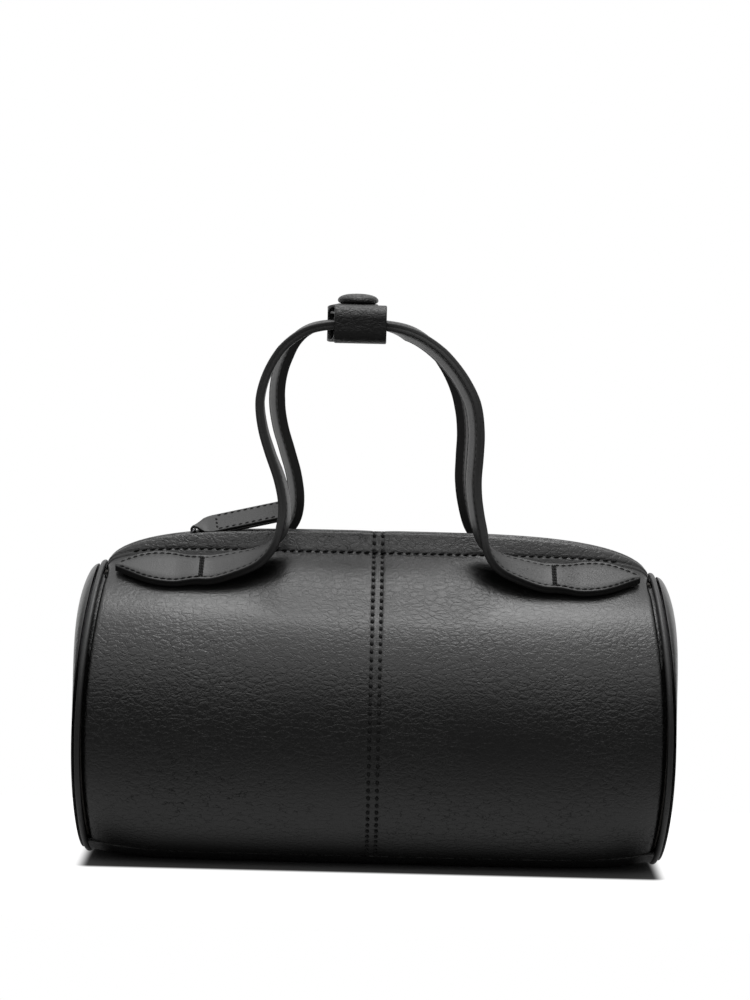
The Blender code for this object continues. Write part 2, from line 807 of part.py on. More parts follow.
def build_slider(metal):
    """Top plate with its bridge, and the lower plate under the teeth."""
    top_z = plate_top_z()
    body = prism("zip_slider", slider_outline(), top_z - SLIDER_PLATE, top_z, metal)
    half = BRIDGE_LENGTH / 2.0
    arch = []
    for angle in np.linspace(0.0, math.pi, 7):
        arch.append((-half * math.cos(angle), top_z + BRIDGE_HEIGHT * math.sin(angle) ** 0.6))
    outer = [(x, z if 0 < i < 6 else top_z - SLIDER_PLATE / 2.0) for i, (x, z) in enumerate(arch)]
    hole = [(x * (half - BRIDGE_BAR) / half, z - BRIDGE_BAR) for x, z in outer[1:-1]]
    hole = [(outer[0][0] + BRIDGE_BAR, outer[0][1])] + hole + [(outer[-1][0] - BRIDGE_BAR, outer[-1][1])]
    sections = []
    for y in (-BRIDGE_WIDTH / 2.0, BRIDGE_WIDTH / 2.0):
        loop = outer + list(reversed(hole))
        sections.append([(SLIDER_REST_X + x, y, z) for x, z in loop])
    bridge = swept_ring("slider_bridge", sections, metal, loop=False)
    bridge.hide_render = True
    bridge.display_type = "WIRE"
    join = body.modifiers.new("bridge", "BOOLEAN")
    join.operation = "UNION"
    join.object = bridge
    low_z = teeth_centre_z() - TEETH_THICKNESS / 2.0 - GAP
    lower = prism("zip_slider_base", slider_outline(), low_z - SLIDER_PLATE, low_z, metal)
    return body, lower


def link_pivot():
    """The link turns in the bridge, on a line across the bag."""
    return Vector((SLIDER_REST_X, 0.0, plate_top_z() + BRIDGE_HEIGHT - BRIDGE_BAR - GAP - LINK_WIRE))


def build_link(metal):
    """A rounded oblong of wire that joins the bridge and the pull."""
    steps = 4
    half = LINK_HALF_WIDTH
    corner = LINK_CORNER
    corners = (
        (LINK_LENGTH - corner, half - corner, 0.0),
        (corner, half - corner, 90.0),
        (corner, -half + corner, 180.0),
        (LINK_LENGTH - corner, -half + corner, 270.0),
    )
    path = []
    for along, across, start in corners:
        for k in range(steps + 1):
            angle = math.radians(start + 90.0 * k / steps)
            path.append((along + corner * math.cos(angle), across + corner * math.sin(angle)))
    pitch = math.radians(LINK_PITCH_DEG)
    along_axis = Vector((math.cos(pitch), 0.0, math.sin(pitch)))
    across_axis = Vector((0.0, 1.0, 0.0))
    up_axis = Vector((-math.sin(pitch), 0.0, math.cos(pitch)))
    centre = link_pivot()
    sections = []
    count = len(path)
    for i, (along, across) in enumerate(path):
        ahead = Vector(path[(i + 1) % count]) - Vector(path[i - 1])
        ahead.normalize()
        out = along_axis * ahead.y - across_axis * ahead.x
        middle = centre + along_axis * along + across_axis * across
        ring = []
        for k in range(6):
            angle = math.tau * k / 6.0
            ring.append(middle + LINK_WIRE * (math.cos(angle) * out + math.sin(angle) * up_axis))
        sections.append(ring)
    return swept_ring("zip_link", sections, metal)


def pull_frame():
    """Start of the pull on the link's far wire, with its directions along, across and up."""
    pitch = math.radians(LINK_PITCH_DEG)
    far = link_pivot() + LINK_LENGTH * Vector((math.cos(pitch), 0.0, math.sin(pitch)))
    slope = math.radians(PULL_PITCH_DEG)
    along = Vector((math.cos(slope), 0.0, math.sin(slope)))
    normal = Vector((-math.sin(slope), 0.0, math.cos(slope)))
    return far, along, normal


def build_pull(leather):
    """A strip folded round the link: a narrow neck in the link, then the full width."""
    far, along, normal = pull_frame()
    across = Vector((0.0, 1.0, 0.0))
    stations = (
        (-0.0014, 0.0),
        (0.0012, 0.0),
        (0.0030, 0.10),
        (0.0052, 0.55),
        (PULL_NECK_LENGTH, 1.0),
        (PULL_LENGTH * 0.45, 1.0),
        (PULL_LENGTH - 0.0060, 1.0),
        (PULL_LENGTH - 0.0022, 0.80),
        (PULL_LENGTH, 0.50),
    )
    pieces = []
    inner_gap = GAP / 2.0
    for name, low, high in (
        ("zip_pull_upper", inner_gap, inner_gap + PULL_LAYER),
        ("zip_pull_lower", -inner_gap, -inner_gap - PULL_LAYER),
    ):
        outer = []
        inner = []
        for distance, share in stations:
            out_of_link = min(1.0, max(0.0, distance / PULL_NECK_LENGTH))
            turn = math.radians(PULL_ROLL_DEG) * out_of_link
            half = (PULL_NECK_WIDTH + (PULL_WIDTH - PULL_NECK_WIDTH) * share) / 2.0
            width = across * math.cos(turn) + normal * math.sin(turn)
            face = normal * math.cos(turn) - across * math.sin(turn)
            lift = math.copysign((LINK_WIRE + GAP) * (1.0 - out_of_link), low)
            middle = far + along * distance + across * PULL_SHIFT_Y * out_of_link
            outer.append([middle + width * half * s + face * (high + lift) for s in (-1.0, 0.0, 1.0)])
            inner.append([middle + width * half * s + face * (low + lift) for s in (-1.0, 0.0, 1.0)])
        pieces.append(sheet(name, outer, inner, leather))
    return pieces


# Handles


def slope_point(x, down, lift):
    """Point lifted off the leather: down from the hem along the slope, then round the side."""
    z = RIDGE_END_Z
    for _ in range(4):
        section = section_x(x, z)
        radius, axis_z = barrel_circle(section)
        tangent = tangent_angle(section)
        run = (radius * math.sin(tangent) - LIP_OUTER_Y) / math.cos(tangent)
        on_slope = min(down, run)
        turned_by = (down - on_slope) / radius
        y = (radius + lift) * math.sin(tangent + turned_by) - (run - on_slope) * math.cos(tangent)
        z = axis_z + (radius + lift) * math.cos(tangent + turned_by) + (run - on_slope) * math.sin(tangent)
    return y, z


def foot_centre():
    return slope_point(FOOT_X, FOOT_DOWN_SLOPE, STRAP_LIFT + STRAP_LAYER + GAP / 2.0)


def handle_top_z():
    return foot_centre()[1] + HANDLE_RISE


def handle_y(height):
    """Distance of a strap's middle line from the middle plane, by its height over the foot."""
    share = min(1.0, max(0.0, height / HANDLE_RISE))
    return HANDLE_TOP_Y + (foot_centre()[0] - HANDLE_TOP_Y) * (1.0 - share) ** HANDLE_CONVERGE


def handle_sway(height):
    """Sideways lean of the arch as the photograph shows it, none at the feet."""
    share = min(1.0, max(0.0, height / SWAY_FROM))
    ease = share * share * (3.0 - 2.0 * share)
    return -HANDLE_SWAY * (height - SWAY_FROM) * ease


def strap_line():
    """Middle line of the front strap from the left foot to the right foot."""
    half = [(FOOT_X, 0.0), (FOOT_X - LEAD_IN, LEAD_IN_RISE)] + list(HANDLE_HALF)
    flat = [(-x, rise) for x, rise in half] + [(0.0, HANDLE_RISE)] + list(reversed(half))
    smooth = smooth_line([(x, 0.0, rise) for x, rise in flat], 6)
    foot_z = foot_centre()[1]
    line = []
    for x, _, rise in resample(smooth, STRAP_STATIONS):
        line.append(Vector((x + handle_sway(rise), -handle_y(rise), foot_z + rise)))
    return line


def strap_frames():
    """For each station of the front strap: middle, width direction and outward normal."""
    line = strap_line()
    foot_z = line[0].z
    tangent = tangent_angle(section_x(FOOT_X, foot_z))
    slope_width = Vector((0.0, -math.cos(tangent), -math.sin(tangent)))
    heights = [height for height, _ in STRAP_TURN]
    turns = [turn for _, turn in STRAP_TURN]
    frames = []
    for i, middle in enumerate(line):
        if i in (0, len(line) - 1):
            ahead = Vector((1.0, 0.0, 0.0))
        else:
            ahead = (line[i + 1] - line[i - 1]).normalized()
        turn = math.radians(float(np.interp(middle.z - foot_z, heights, turns)))
        side = -1.0 if i < len(line) / 2 else 1.0
        upright = Vector((side * math.sin(turn), -math.cos(turn), 0.0))
        share = min(1.0, max(0.0, (middle.z - foot_z) / STRAP_LIE_HEIGHT))
        ease = share * share * (3.0 - 2.0 * share)
        width = slope_width.lerp(upright, ease)
        width = (width - ahead * width.dot(ahead)).normalized()
        normal = width.cross(ahead).normalized()
        frames.append((middle, width, normal))
    return frames


def build_strap(row, front, leather):
    """Two leather layers, the outer one on top at the feet and outside round the arch."""
    mirror = Matrix.Scale(-1.0, 4, (0.0, 1.0, 0.0)) if front > 0 else Matrix.Identity(4)
    half = STRAP_WIDTH / 2.0
    frames = strap_frames()
    pieces = []
    for layer, low in (("outer", GAP / 2.0), ("inner", -GAP / 2.0 - STRAP_LAYER)):
        grids = []
        for lift in (low + STRAP_LAYER, low):
            grid = []
            for middle, width, normal in frames:
                edges = [middle + width * half * s + normal * lift for s in (-1.0, 1.0)]
                grid.append([mirror @ point for point in edges])
            grids.append(grid)
        pieces.append(sheet(f"{row}_handle_{layer}", grids[0], grids[1], leather))
    return pieces


def tab_middle(along):
    """Distance down the slope of the tab's middle line, at a distance from the neck."""
    return FOOT_DOWN_SLOPE - TAB_TIP_RISE * (max(0.0, along) / TAB_LENGTH) ** 1.4


def build_tab(row, front, half, side, leather, board):
    """Almond-shaped foot of a handle on the slope, with a patch behind it inside the bag."""
    top = []
    under = []
    line = smooth_line([(a, h, 0.0) for a, h in TAB_OUTLINE], 2)
    for along, half_width, _ in line:
        x = FOOT_X + GAP + along
        rows = []
        for lift in (GAP + TAB_THICKNESS, GAP):
            row_points = []
            for share in (-1.0, 0.0, 1.0):
                y, z = slope_point(x, tab_middle(along) + share * half_width, lift)
                row_points.append((side * x, front * y, z))
            rows.append(row_points)
        top.append(rows[0])
        under.append(rows[1])
    sheet(f"handle_tab_{row}_{half}", top, under, leather)
    top = []
    under = []
    for x in np.linspace(FOOT_X + PATCH_START, FOOT_X + PATCH_START + PATCH_LENGTH, 5):
        rows = []
        for lift in (-LEATHER - GAP - PATCH_DROP, -LEATHER - GAP - PATCH_DROP - BOARD):
            across = [tab_middle(x - FOOT_X) + PATCH_WIDTH * share for share in (-0.5, 0.0, 0.5)]
            points = [slope_point(x, down, lift) for down in across]
            rows.append([(side * x, front * y, z) for y, z in points])
        top.append(rows[0])
        under.append(rows[1])
    sheet(f"tab_patch_{row}_{half}", top, under, board)


# Keeper and snap


def keeper_x():
    return handle_sway(HANDLE_RISE)


def keeper_bottom_z():
    return handle_top_z() - KEEPER_ROOM_BELOW


def keeper_top_z():
    return handle_top_z() + KEEPER_ROOM_ABOVE


def keeper_half():
    """Inner half length of the channel that holds both straps."""
    return HANDLE_TOP_Y + KEEPER_SIDE_ROOM


def corner_arc(centre_y, centre_z, start_deg, end_deg, steps=4):
    arc = []
    for angle in np.linspace(math.radians(start_deg), math.radians(end_deg), steps + 1):
        arc.append((centre_y + KEEPER_CORNER * math.cos(angle), centre_z + KEEPER_CORNER * math.sin(angle)))
    return arc


def hinge_z():
    """Height of the line on which the flap bends, at the rear of the keeper."""
    return (keeper_bottom_z() + keeper_top_z()) / 2.0


def flap_pivot():
    return Vector((keeper_x(), keeper_half() + KEEPER_LEATHER, hinge_z()))


def keeper_line():
    """Inner face of the band: tongue, over the front strap, round below to the rear side."""
    outer_y = keeper_half()
    corner = KEEPER_CORNER
    tongue_z = keeper_top_z() - TONGUE_DIP
    line = [(TONGUE_END_Y, tongue_z), (-TONGUE_FLAT, tongue_z), (-TONGUE_FLAT - TONGUE_RAMP, keeper_top_z())]
    line += corner_arc(-outer_y + corner, keeper_top_z() - corner, 90.0, 180.0)
    line += corner_arc(-outer_y + corner, keeper_bottom_z() + corner, 180.0, 270.0)
    line.append((-PINCH_REACH, keeper_bottom_z()))
    line.append((0.0, keeper_bottom_z() + KEEPER_PINCH))
    line.append((PINCH_REACH, keeper_bottom_z()))
    line += corner_arc(outer_y - corner, keeper_bottom_z() + corner, 270.0, 360.0)
    line.append((outer_y, hinge_z() - GAP / 2.0))
    return line


def flap_line():
    """Inner face of the flap: up the rear side and over both straps to the front."""
    outer_y = keeper_half()
    corner = KEEPER_CORNER
    top_z = keeper_top_z() + FLAP_RISE
    line = [(outer_y, hinge_z() + GAP / 2.0)]
    line += corner_arc(outer_y - corner, top_z - corner, 0.0, 90.0)
    line += [(0.0, top_z), (FLAP_END_Y, top_z)]
    return line


def band(name, line, leather):
    """A strip of leather the width of the keeper, on the outer side of a section line."""
    grids = []
    for depth in (KEEPER_LEATHER, 0.0):
        moved = offset_line(line, depth)
        grid = []
        for x in (keeper_x() - KEEPER_WIDTH / 2.0, keeper_x() + KEEPER_WIDTH / 2.0):
            grid.append([(x, y, z) for y, z in moved])
        grids.append(grid)
    return sheet(name, grids[0], grids[1], leather)


def hole_cutter(name, radius, low_z, high_z):
    cutter = turned(
        name,
        [(0.0, low_z), (radius, low_z), (radius, high_z), (0.0, high_z)],
        (snap_x(), 0.0, 0.0),
        finish_material("snap_metal", METAL_DARK),
        steps=12,
    )
    cutter.hide_render = True
    cutter.display_type = "WIRE"
    return cutter


def drill(piece, cutter):
    hole = piece.modifiers.new("snap_hole", "BOOLEAN")
    hole.operation = "DIFFERENCE"
    hole.object = cutter


def snap_x():
    return keeper_x() + SNAP_SHIFT_X


def build_keeper(leather, metal):
    """Band and flap, with the snap's stud in the tongue and its socket and cap on the flap."""
    keeper = band("keeper_band", keeper_line(), leather)
    flap = band("keeper_flap", flap_line(), leather)
    tongue_top = keeper_top_z() - TONGUE_DIP + KEEPER_LEATHER
    flap_low = keeper_top_z() + FLAP_RISE
    flap_top = flap_low + KEEPER_LEATHER
    shank_hole = SNAP_SHANK + GAP
    drill(keeper, hole_cutter("stud_hole", shank_hole, tongue_top - 2.0 * KEEPER_LEATHER, tongue_top + GAP))
    drill(flap, hole_cutter("post_hole", shank_hole, flap_low - GAP, flap_top + GAP))
    centre = (snap_x(), 0.0, 0.0)
    seat = tongue_top + SNAP_SEAT
    stud = turned(
        "snap_stud",
        [
            (0.0, tongue_top - KEEPER_LEATHER),
            (SNAP_SHANK, tongue_top - KEEPER_LEATHER),
            (SNAP_SHANK, seat),
            (STUD_RADIUS, seat),
            (STUD_RADIUS, seat + STUD_FLANGE),
            (STUD_POST_RADIUS, seat + STUD_FLANGE),
            (STUD_POST_RADIUS, seat + STUD_POST - STUD_POST_BEVEL),
            (STUD_POST_RADIUS - STUD_POST_BEVEL, seat + STUD_POST),
            (0.0, seat + STUD_POST),
        ],
        centre,
        metal,
        steps=16,
    )
    socket_top = flap_low - SNAP_SEAT
    socket = turned(
        "snap_socket",
        [
            (SOCKET_BORE, socket_top - SOCKET_HEIGHT),
            (SOCKET_RADIUS, socket_top - SOCKET_HEIGHT),
            (SOCKET_RADIUS, socket_top),
            (SOCKET_BORE, socket_top),
        ],
        centre,
        metal,
        steps=20,
    )
    post = turned(
        "snap_post",
        [
            (0.0, socket_top - POST_HEAD),
            (SOCKET_BORE - GAP, socket_top - POST_HEAD),
            (SOCKET_BORE - GAP, socket_top),
            (SNAP_SHANK, socket_top),
            (SNAP_SHANK, flap_top),
            (0.0, flap_top),
        ],
        centre,
        metal,
        steps=12,
    )
    base = flap_top + SNAP_SEAT
    cap = turned(
        "snap_cap",
        [
            (0.0, base),
            (CAP_RADIUS - CAP_BEVEL, base),
            (CAP_RADIUS, base + CAP_BEVEL),
            (CAP_RADIUS * 0.957, base + CAP_HEIGHT * 0.565),
            (CAP_RADIUS * 0.80, base + CAP_HEIGHT * 0.80),
            (CAP_RADIUS * 0.45, base + CAP_HEIGHT * 0.96),
            (0.0, base + CAP_HEIGHT),
        ],
        centre,
        leather,
        steps=24,
    )
    return keeper, stud, [flap, socket, post, cap]


def build():
    clear_scene()
    leather = finish_material("pebbled_leather", LEATHER_BLACK)
    strap = finish_material("strap_leather", LEATHER_BLACK)
    cord = finish_material("piping_cord", PAD_GREY)
    cloth = finish_material("lining_cloth", LINING_BLACK)
    board = finish_material("fibre_board", BOARD_GREY)
    pad = finish_material("end_pad", PAD_GREY)
    metal = finish_material("snap_metal", METAL_DARK)
    teeth = finish_material("zip_teeth", TEETH_BLACK)

    build_side_panels(leather)
    build_base_panel(leather)
    build_base_board(board)
    build_seam_tapes(cloth)
    build_lining(cloth)
    for half, side in (("left", -1.0), ("right", 1.0)):
        build_end(half, side, leather, pad, board, cloth)
        build_piping(half, side, leather, cord)
    build_zip_tapes(cloth)
    build_zip_teeth(teeth)
    build_zip_ends(metal, leather)

    slider = pivot("slider_travel", (SLIDER_REST_X, 0.0, teeth_centre_z()))
    hang_on(slider, build_slider(metal), slider.location)
    swing = pivot("pull_swing", link_pivot())
    hang_on(swing, [build_link(metal)] + build_pull(strap), swing.location)

    foot_y, foot_z = foot_centre()
    for row, front in (("front", -1.0), ("rear", 1.0)):
        for half, side in (("left", -1.0), ("right", 1.0)):
            build_tab(row, front, half, side, strap, board)
        lean = pivot(f"{row}_handle_lean", (0.0, front * foot_y, foot_z))
        hang_on(lean, build_strap(row, front, strap), lean.location)

    keeper, stud, flap_pieces = build_keeper(strap, metal)
    tilt = pivot("keeper_tilt", (keeper_x(), -HANDLE_TOP_Y, handle_top_z()))
    hang_on(tilt, [keeper, stud], tilt.location)
    opening = pivot("flap_opening", flap_pivot())
    hang_on(opening, flap_pieces, opening.location)

    print("foot centre", foot_y, foot_z)
    print("keeper x", keeper_x(), "flap pivot", tuple(flap_pivot()), "link pivot", tuple(link_pivot()))


build()
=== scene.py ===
# %% [markdown]
# A barrel handbag: a round body of pebbled leather with a zipped ridge on top, a piped round panel at
# each end, and two long straps that a snapped keeper ties together. The imported model gives every piece
# its place, so this script begins by loading it.
# %% Load the imported model
import math

import bpy
import numpy as np
from mathutils import Matrix, Vector
from mathutils.geometry import interpolate_bezier


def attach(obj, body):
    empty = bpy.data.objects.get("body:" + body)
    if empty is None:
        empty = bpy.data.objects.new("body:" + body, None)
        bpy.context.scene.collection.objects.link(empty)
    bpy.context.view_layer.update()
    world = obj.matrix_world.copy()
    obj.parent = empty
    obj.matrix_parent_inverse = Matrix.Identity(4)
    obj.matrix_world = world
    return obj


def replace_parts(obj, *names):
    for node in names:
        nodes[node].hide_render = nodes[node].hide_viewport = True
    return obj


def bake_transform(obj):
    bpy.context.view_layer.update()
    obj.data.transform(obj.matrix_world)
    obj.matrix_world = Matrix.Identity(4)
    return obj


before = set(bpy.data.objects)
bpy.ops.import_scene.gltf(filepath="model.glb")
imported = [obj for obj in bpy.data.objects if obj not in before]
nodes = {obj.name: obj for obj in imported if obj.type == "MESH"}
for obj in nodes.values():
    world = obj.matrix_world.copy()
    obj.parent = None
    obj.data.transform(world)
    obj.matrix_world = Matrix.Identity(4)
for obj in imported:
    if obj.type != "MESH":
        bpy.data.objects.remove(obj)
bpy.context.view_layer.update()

# %% [markdown]
# An operator acts on everything that is selected, so each step first picks the one piece it is for. The
# steps that come back often, such as merging doubles and turning the faces outwards, get a name.
# %% Helpers: select, edit and modify


def only(piece):
    """Deselects everything and makes this piece the one that operators act on."""
    bpy.ops.object.select_all(action="DESELECT")
    piece.select_set(True)
    bpy.context.view_layer.objects.active = piece


def edit_all(piece, *steps):
    """Runs edit-mode steps with the whole mesh selected."""
    only(piece)
    bpy.ops.object.mode_set(mode="EDIT")
    bpy.ops.mesh.select_all(action="SELECT")
    for step in steps:
        step()
    bpy.ops.object.mode_set(mode="OBJECT")


def merge_doubles():
    bpy.ops.mesh.remove_doubles(threshold=1e-6)


def close_ends():
    bpy.ops.mesh.fill_holes(sides=0)


def face_outwards():
    bpy.ops.mesh.normals_make_consistent(inside=False)


def finish_modifier(piece, kind, **settings):
    """Adds one modifier and applies it."""
    only(piece)
    made = piece.modifiers.new(kind.lower(), kind)
    for key, value in settings.items():
        setattr(made, key, value)
    bpy.ops.object.modifier_apply(modifier=made.name)


# %% [markdown]
# Most of this bag is sheet leather that follows a curve in two directions. By hand one would add a grid
# and pull it into shape; here the grid is added in the same way and its vertices are moved by a formula,
# because the formula also says where the seams and stitches go. Straps, pipings and cords are grids rolled
# up into a tube. A Solidify modifier gives a single skin its thickness. Edges are shaded sharp above an
# angle that suits the piece, in degrees.
# %% Helpers: grids, tubes and walls
HIDE_ANGLE = 60.0
SMALL_ANGLE = 50.0
STRAP_ANGLE = 40.0


def mapped_grid(name, points, edge_columns=()):
    """A grid primitive with one vertex for each point. Faces in edge_columns get the second material."""
    columns, rows = points.shape[:2]
    bpy.ops.object.select_all(action="DESELECT")
    bpy.ops.mesh.primitive_grid_add(x_subdivisions=columns - 1, y_subdivisions=rows - 1, size=2.0)
    piece = bpy.context.object
    piece.name = name
    piece.data.name = name
    count = len(piece.data.vertices)
    flat = np.zeros(count * 3)
    piece.data.vertices.foreach_get("co", flat)
    flat = flat.reshape(-1, 3)
    i = np.rint((flat[:, 0] + 1.0) / 2.0 * (columns - 1)).astype(int)
    j = np.rint((flat[:, 1] + 1.0) / 2.0 * (rows - 1)).astype(int)
    piece.data.vertices.foreach_set("co", points[i, j].ravel())
    if edge_columns:
        corners = np.zeros(len(piece.data.polygons) * 4, int)
        piece.data.polygons.foreach_get("vertices", corners)
        first = j[corners.reshape(-1, 4)].min(axis=1)
        piece.data.polygons.foreach_set("material_index", np.isin(first, edge_columns).astype(np.int32))
    piece.data.update()
    return piece


def tube(name, rings, loop=False, edge_columns=()):
    """A closed skin through equal closed rings, capped at its ends unless it loops."""
    points = np.concatenate([rings, rings[:, :1]], axis=1)
    if loop:
        points = np.concatenate([points, points[:1]], axis=0)
    piece = mapped_grid(name, points, edge_columns)
    caps = () if loop else (close_ends,)
    edit_all(piece, merge_doubles, *caps, face_outwards)
    return piece


def smooth(piece, degrees):
    """Shades the piece smooth, but for edges sharper than the angle."""
    only(piece)
    bpy.ops.object.shade_smooth_by_angle(angle=math.radians(degrees))
    return piece


def give_wall(piece, thickness, degrees, offset=-1.0):
    """Turns a skin into a sheet of the given thickness."""
    finish_modifier(piece, "SOLIDIFY", thickness=thickness, offset=offset)
    return smooth(piece, degrees)


def dress(piece, *materials):
    """Puts these materials in the piece's slots, in order."""
    piece.data.materials.clear()
    for material in materials:
        piece.data.materials.append(material)
    return piece


print("helpers", mapped_grid.__name__, tube.__name__, give_wall.__name__)

# %% [markdown]
# Soft things have no sudden changes, so two small curves serve all over the bag: one that eases from 0
# to 1, where a form begins or ends, and one that swells and falls again, for grooves and dents.
# %% Helpers: two curves


def ease(share):
    """Smooth step from 0 to 1."""
    share = np.clip(share, 0.0, 1.0)
    return share * share * (3.0 - 2.0 * share)


def bell(distance, width):
    """A smooth bump: 1 at distance 0, and almost gone at twice the width."""
    return np.exp(-((distance / width) ** 2))


print("half way", float(ease(0.5)), "one width away", round(float(bell(1.0, 1.0)), 3))

# %% [markdown]
# Finishes come first, because each piece is dressed as soon as it is made. In the shader editor one would
# add each node and drag the links; here a short helper adds a node, fills or links its inputs and returns
# the output that the next node reads.
# %% Helpers: shader nodes


def new_group(name, inputs, outputs):
    group = bpy.data.node_groups.new(name, "ShaderNodeTree")
    for label, kind, value in inputs:
        socket = group.interface.new_socket(name=label, in_out="INPUT", socket_type=kind)
        if value is not None:
            socket.default_value = value
    for label, kind in outputs:
        group.interface.new_socket(name=label, in_out="OUTPUT", socket_type=kind)
    return group, group.nodes.new("NodeGroupInput"), group.nodes.new("NodeGroupOutput")


def math_node(tree, operation, first, second=None):
    node = tree.nodes.new("ShaderNodeMath")
    node.operation = operation
    for socket, value in zip(node.inputs, (first, second)):
        if value is None:
            continue
        if isinstance(value, (int, float)):
            socket.default_value = value
        else:
            tree.links.new(value, socket)
    return node.outputs[0]


def vector_node(tree, operation, first, second):
    node = tree.nodes.new("ShaderNodeVectorMath")
    node.operation = operation
    for socket, value in zip(node.inputs, (first, second)):
        if isinstance(value, tuple):
            socket.default_value = value
        else:
            tree.links.new(value, socket)
    return node.outputs[0]


def map_range(tree, value, from_min, from_max, to_min=0.0, to_max=1.0, smoothly=False):
    node = tree.nodes.new("ShaderNodeMapRange")
    if smoothly:
        node.interpolation_type = "SMOOTHSTEP"
    tree.links.new(value, node.inputs["Value"])
    limits = {"From Min": from_min, "From Max": from_max, "To Min": to_min, "To Max": to_max}
    for label, number in limits.items():
        node.inputs[label].default_value = number
    return node.outputs["Result"]


def noise_node(tree, vector, scale, detail=2.0, roughness=0.5):
    node = tree.nodes.new("ShaderNodeTexNoise")
    tree.links.new(vector, node.inputs["Vector"])
    node.inputs["Scale"].default_value = scale
    node.inputs["Detail"].default_value = detail
    node.inputs["Roughness"].default_value = roughness
    return node


def distance_to_crease(tree, vector, scale=1.0):
    """Distance from the borders between the cells of a Voronoi texture."""
    node = tree.nodes.new("ShaderNodeTexVoronoi")
    node.feature = "DISTANCE_TO_EDGE"
    tree.links.new(vector, node.inputs["Vector"])
    node.inputs["Scale"].default_value = scale
    return node.outputs["Distance"]


def object_place(tree):
    return tree.nodes.new("ShaderNodeTexCoord").outputs["Object"]


def split_xyz(tree, vector):
    split = tree.nodes.new("ShaderNodeSeparateXYZ")
    tree.links.new(vector, split.inputs[0])
    return split.outputs


print("node helpers ready, groups so far", len(bpy.data.node_groups))

# %% [markdown]
# The grain of pebbled leather is a pattern of rounded cells with creases between them, wider along the bag
# than across. A Voronoi texture gives the cells, and a noise bends them so that the creases look torn
# rather than drawn. The pattern sits in a node group, so that body leather and strap leather share it at
# different scales. Its lengths are in cells: how far from a crease something reaches, or how many of it
# fit across a cell.
# %% Shader group: grain
BEND_SCALE = 0.8
PATCH_SCALE = 0.07
PATCH_RANGE, PATCH_LEAST = (0.35, 0.65), 0.45
BREAK_SCALE = 1.1
BREAK_RANGE, BREAK_LEAST = (0.40, 0.58), 0.10
WRINKLE_SCALE = 2.1
TOOTH_SCALE = 5.0
PILLOW_REACH = 0.48
TORN_REACH = 0.06
CREASE_REACH = 0.085
WRINKLE_REACH = 0.25
PILLOW_HEIGHT = 0.58
TORN_DEPTH = 0.08
WRINKLE_HEIGHT = 0.13
TOOTH_HEIGHT = 0.12


def make_grain_group():
    """Cells of leather: height, a mask of the creases for their painted shade and dullness, and a slow
    patchiness.
    """
    group, given, out = new_group(
        "leather_grain",
        [("Cells", "NodeSocketVector", (1.0, 1.0, 1.0)), ("Bend", "NodeSocketFloat", 0.6)],
        [("Height", "NodeSocketFloat"), ("Crease", "NodeSocketFloat"), ("Patch", "NodeSocketFloat")],
    )
    cells = vector_node(group, "MULTIPLY", object_place(group), given.outputs["Cells"])
    bend = noise_node(group, cells, BEND_SCALE, 3.0, 0.6)
    shift = vector_node(group, "SUBTRACT", bend.outputs["Color"], (0.5, 0.5, 0.5))
    scaled = group.nodes.new("ShaderNodeVectorMath")
    scaled.operation = "SCALE"
    group.links.new(shift, scaled.inputs[0])
    group.links.new(math_node(group, "MULTIPLY", given.outputs["Bend"], 2.0), scaled.inputs["Scale"])
    warped = vector_node(group, "ADD", cells, scaled.outputs[0])
    edge = distance_to_crease(group, warped)
    fine_edge = distance_to_crease(group, warped, WRINKLE_SCALE)
    patch = noise_node(group, cells, PATCH_SCALE).outputs["Fac"]
    breaks = noise_node(group, cells, BREAK_SCALE).outputs["Fac"]
    broken = map_range(group, breaks, *BREAK_RANGE, BREAK_LEAST)
    depth = map_range(group, patch, *PATCH_RANGE, PATCH_LEAST)
    open_crease = math_node(group, "MULTIPLY", broken, depth)
    fall = map_range(group, edge, 0.0, PILLOW_REACH, 1.0, 0.0)
    pillow = map_range(group, math_node(group, "MULTIPLY", fall, fall), 0.0, 1.0, PILLOW_HEIGHT, 0.0)
    thin = map_range(group, edge, 0.0, TORN_REACH, -TORN_DEPTH, 0.0, smoothly=True)
    fine = map_range(group, fine_edge, 0.0, WRINKLE_REACH, smoothly=True)
    tooth = noise_node(group, cells, TOOTH_SCALE).outputs["Fac"]
    coarse = math_node(group, "MULTIPLY", pillow, depth)
    torn = math_node(group, "MULTIPLY", thin, open_crease)
    small = math_node(group, "MULTIPLY", fine, WRINKLE_HEIGHT)
    height = math_node(group, "ADD", math_node(group, "ADD", coarse, torn), small)
    height = math_node(group, "ADD", height, math_node(group, "MULTIPLY", tooth, TOOTH_HEIGHT))
    crease = map_range(group, edge, 0.0, CREASE_REACH, 1.0, 0.0, smoothly=True)
    group.links.new(height, out.inputs["Height"])
    group.links.new(math_node(group, "MULTIPLY", crease, open_crease), out.inputs["Crease"])
    group.links.new(patch, out.inputs["Patch"])
    return group


GRAIN = make_grain_group()
print("group", GRAIN.name)

# %% [markdown]
# The leather material reads the group. Its creases are duller than the crowns and are also painted darker:
# a painted shade that stands for the shade falling into them. The bump follows the height. The same
# function makes the body leather, with long cells of about 4 by 3 mm, the strap leather, whose grain is
# pressed fine, and the creased leather of the keeper. Where the body leather is pulled tight over the
# shoulders its grain is nearly smooth and its creases carry less painted shade. How strongly each leather
# shines is a constant, so it is set on the shader's own socket.
# %% Materials: leathers
CREASE_ROUGHNESS = 0.95
CROWN_RANGE = (0.2, 1.0)
PULLED_FROM_Z = (0.103, 0.122)
PULLED_TO_Z = (0.139, 0.145)
PULLED_GRAIN = 0.38
PULLED_CREASE = 0.15


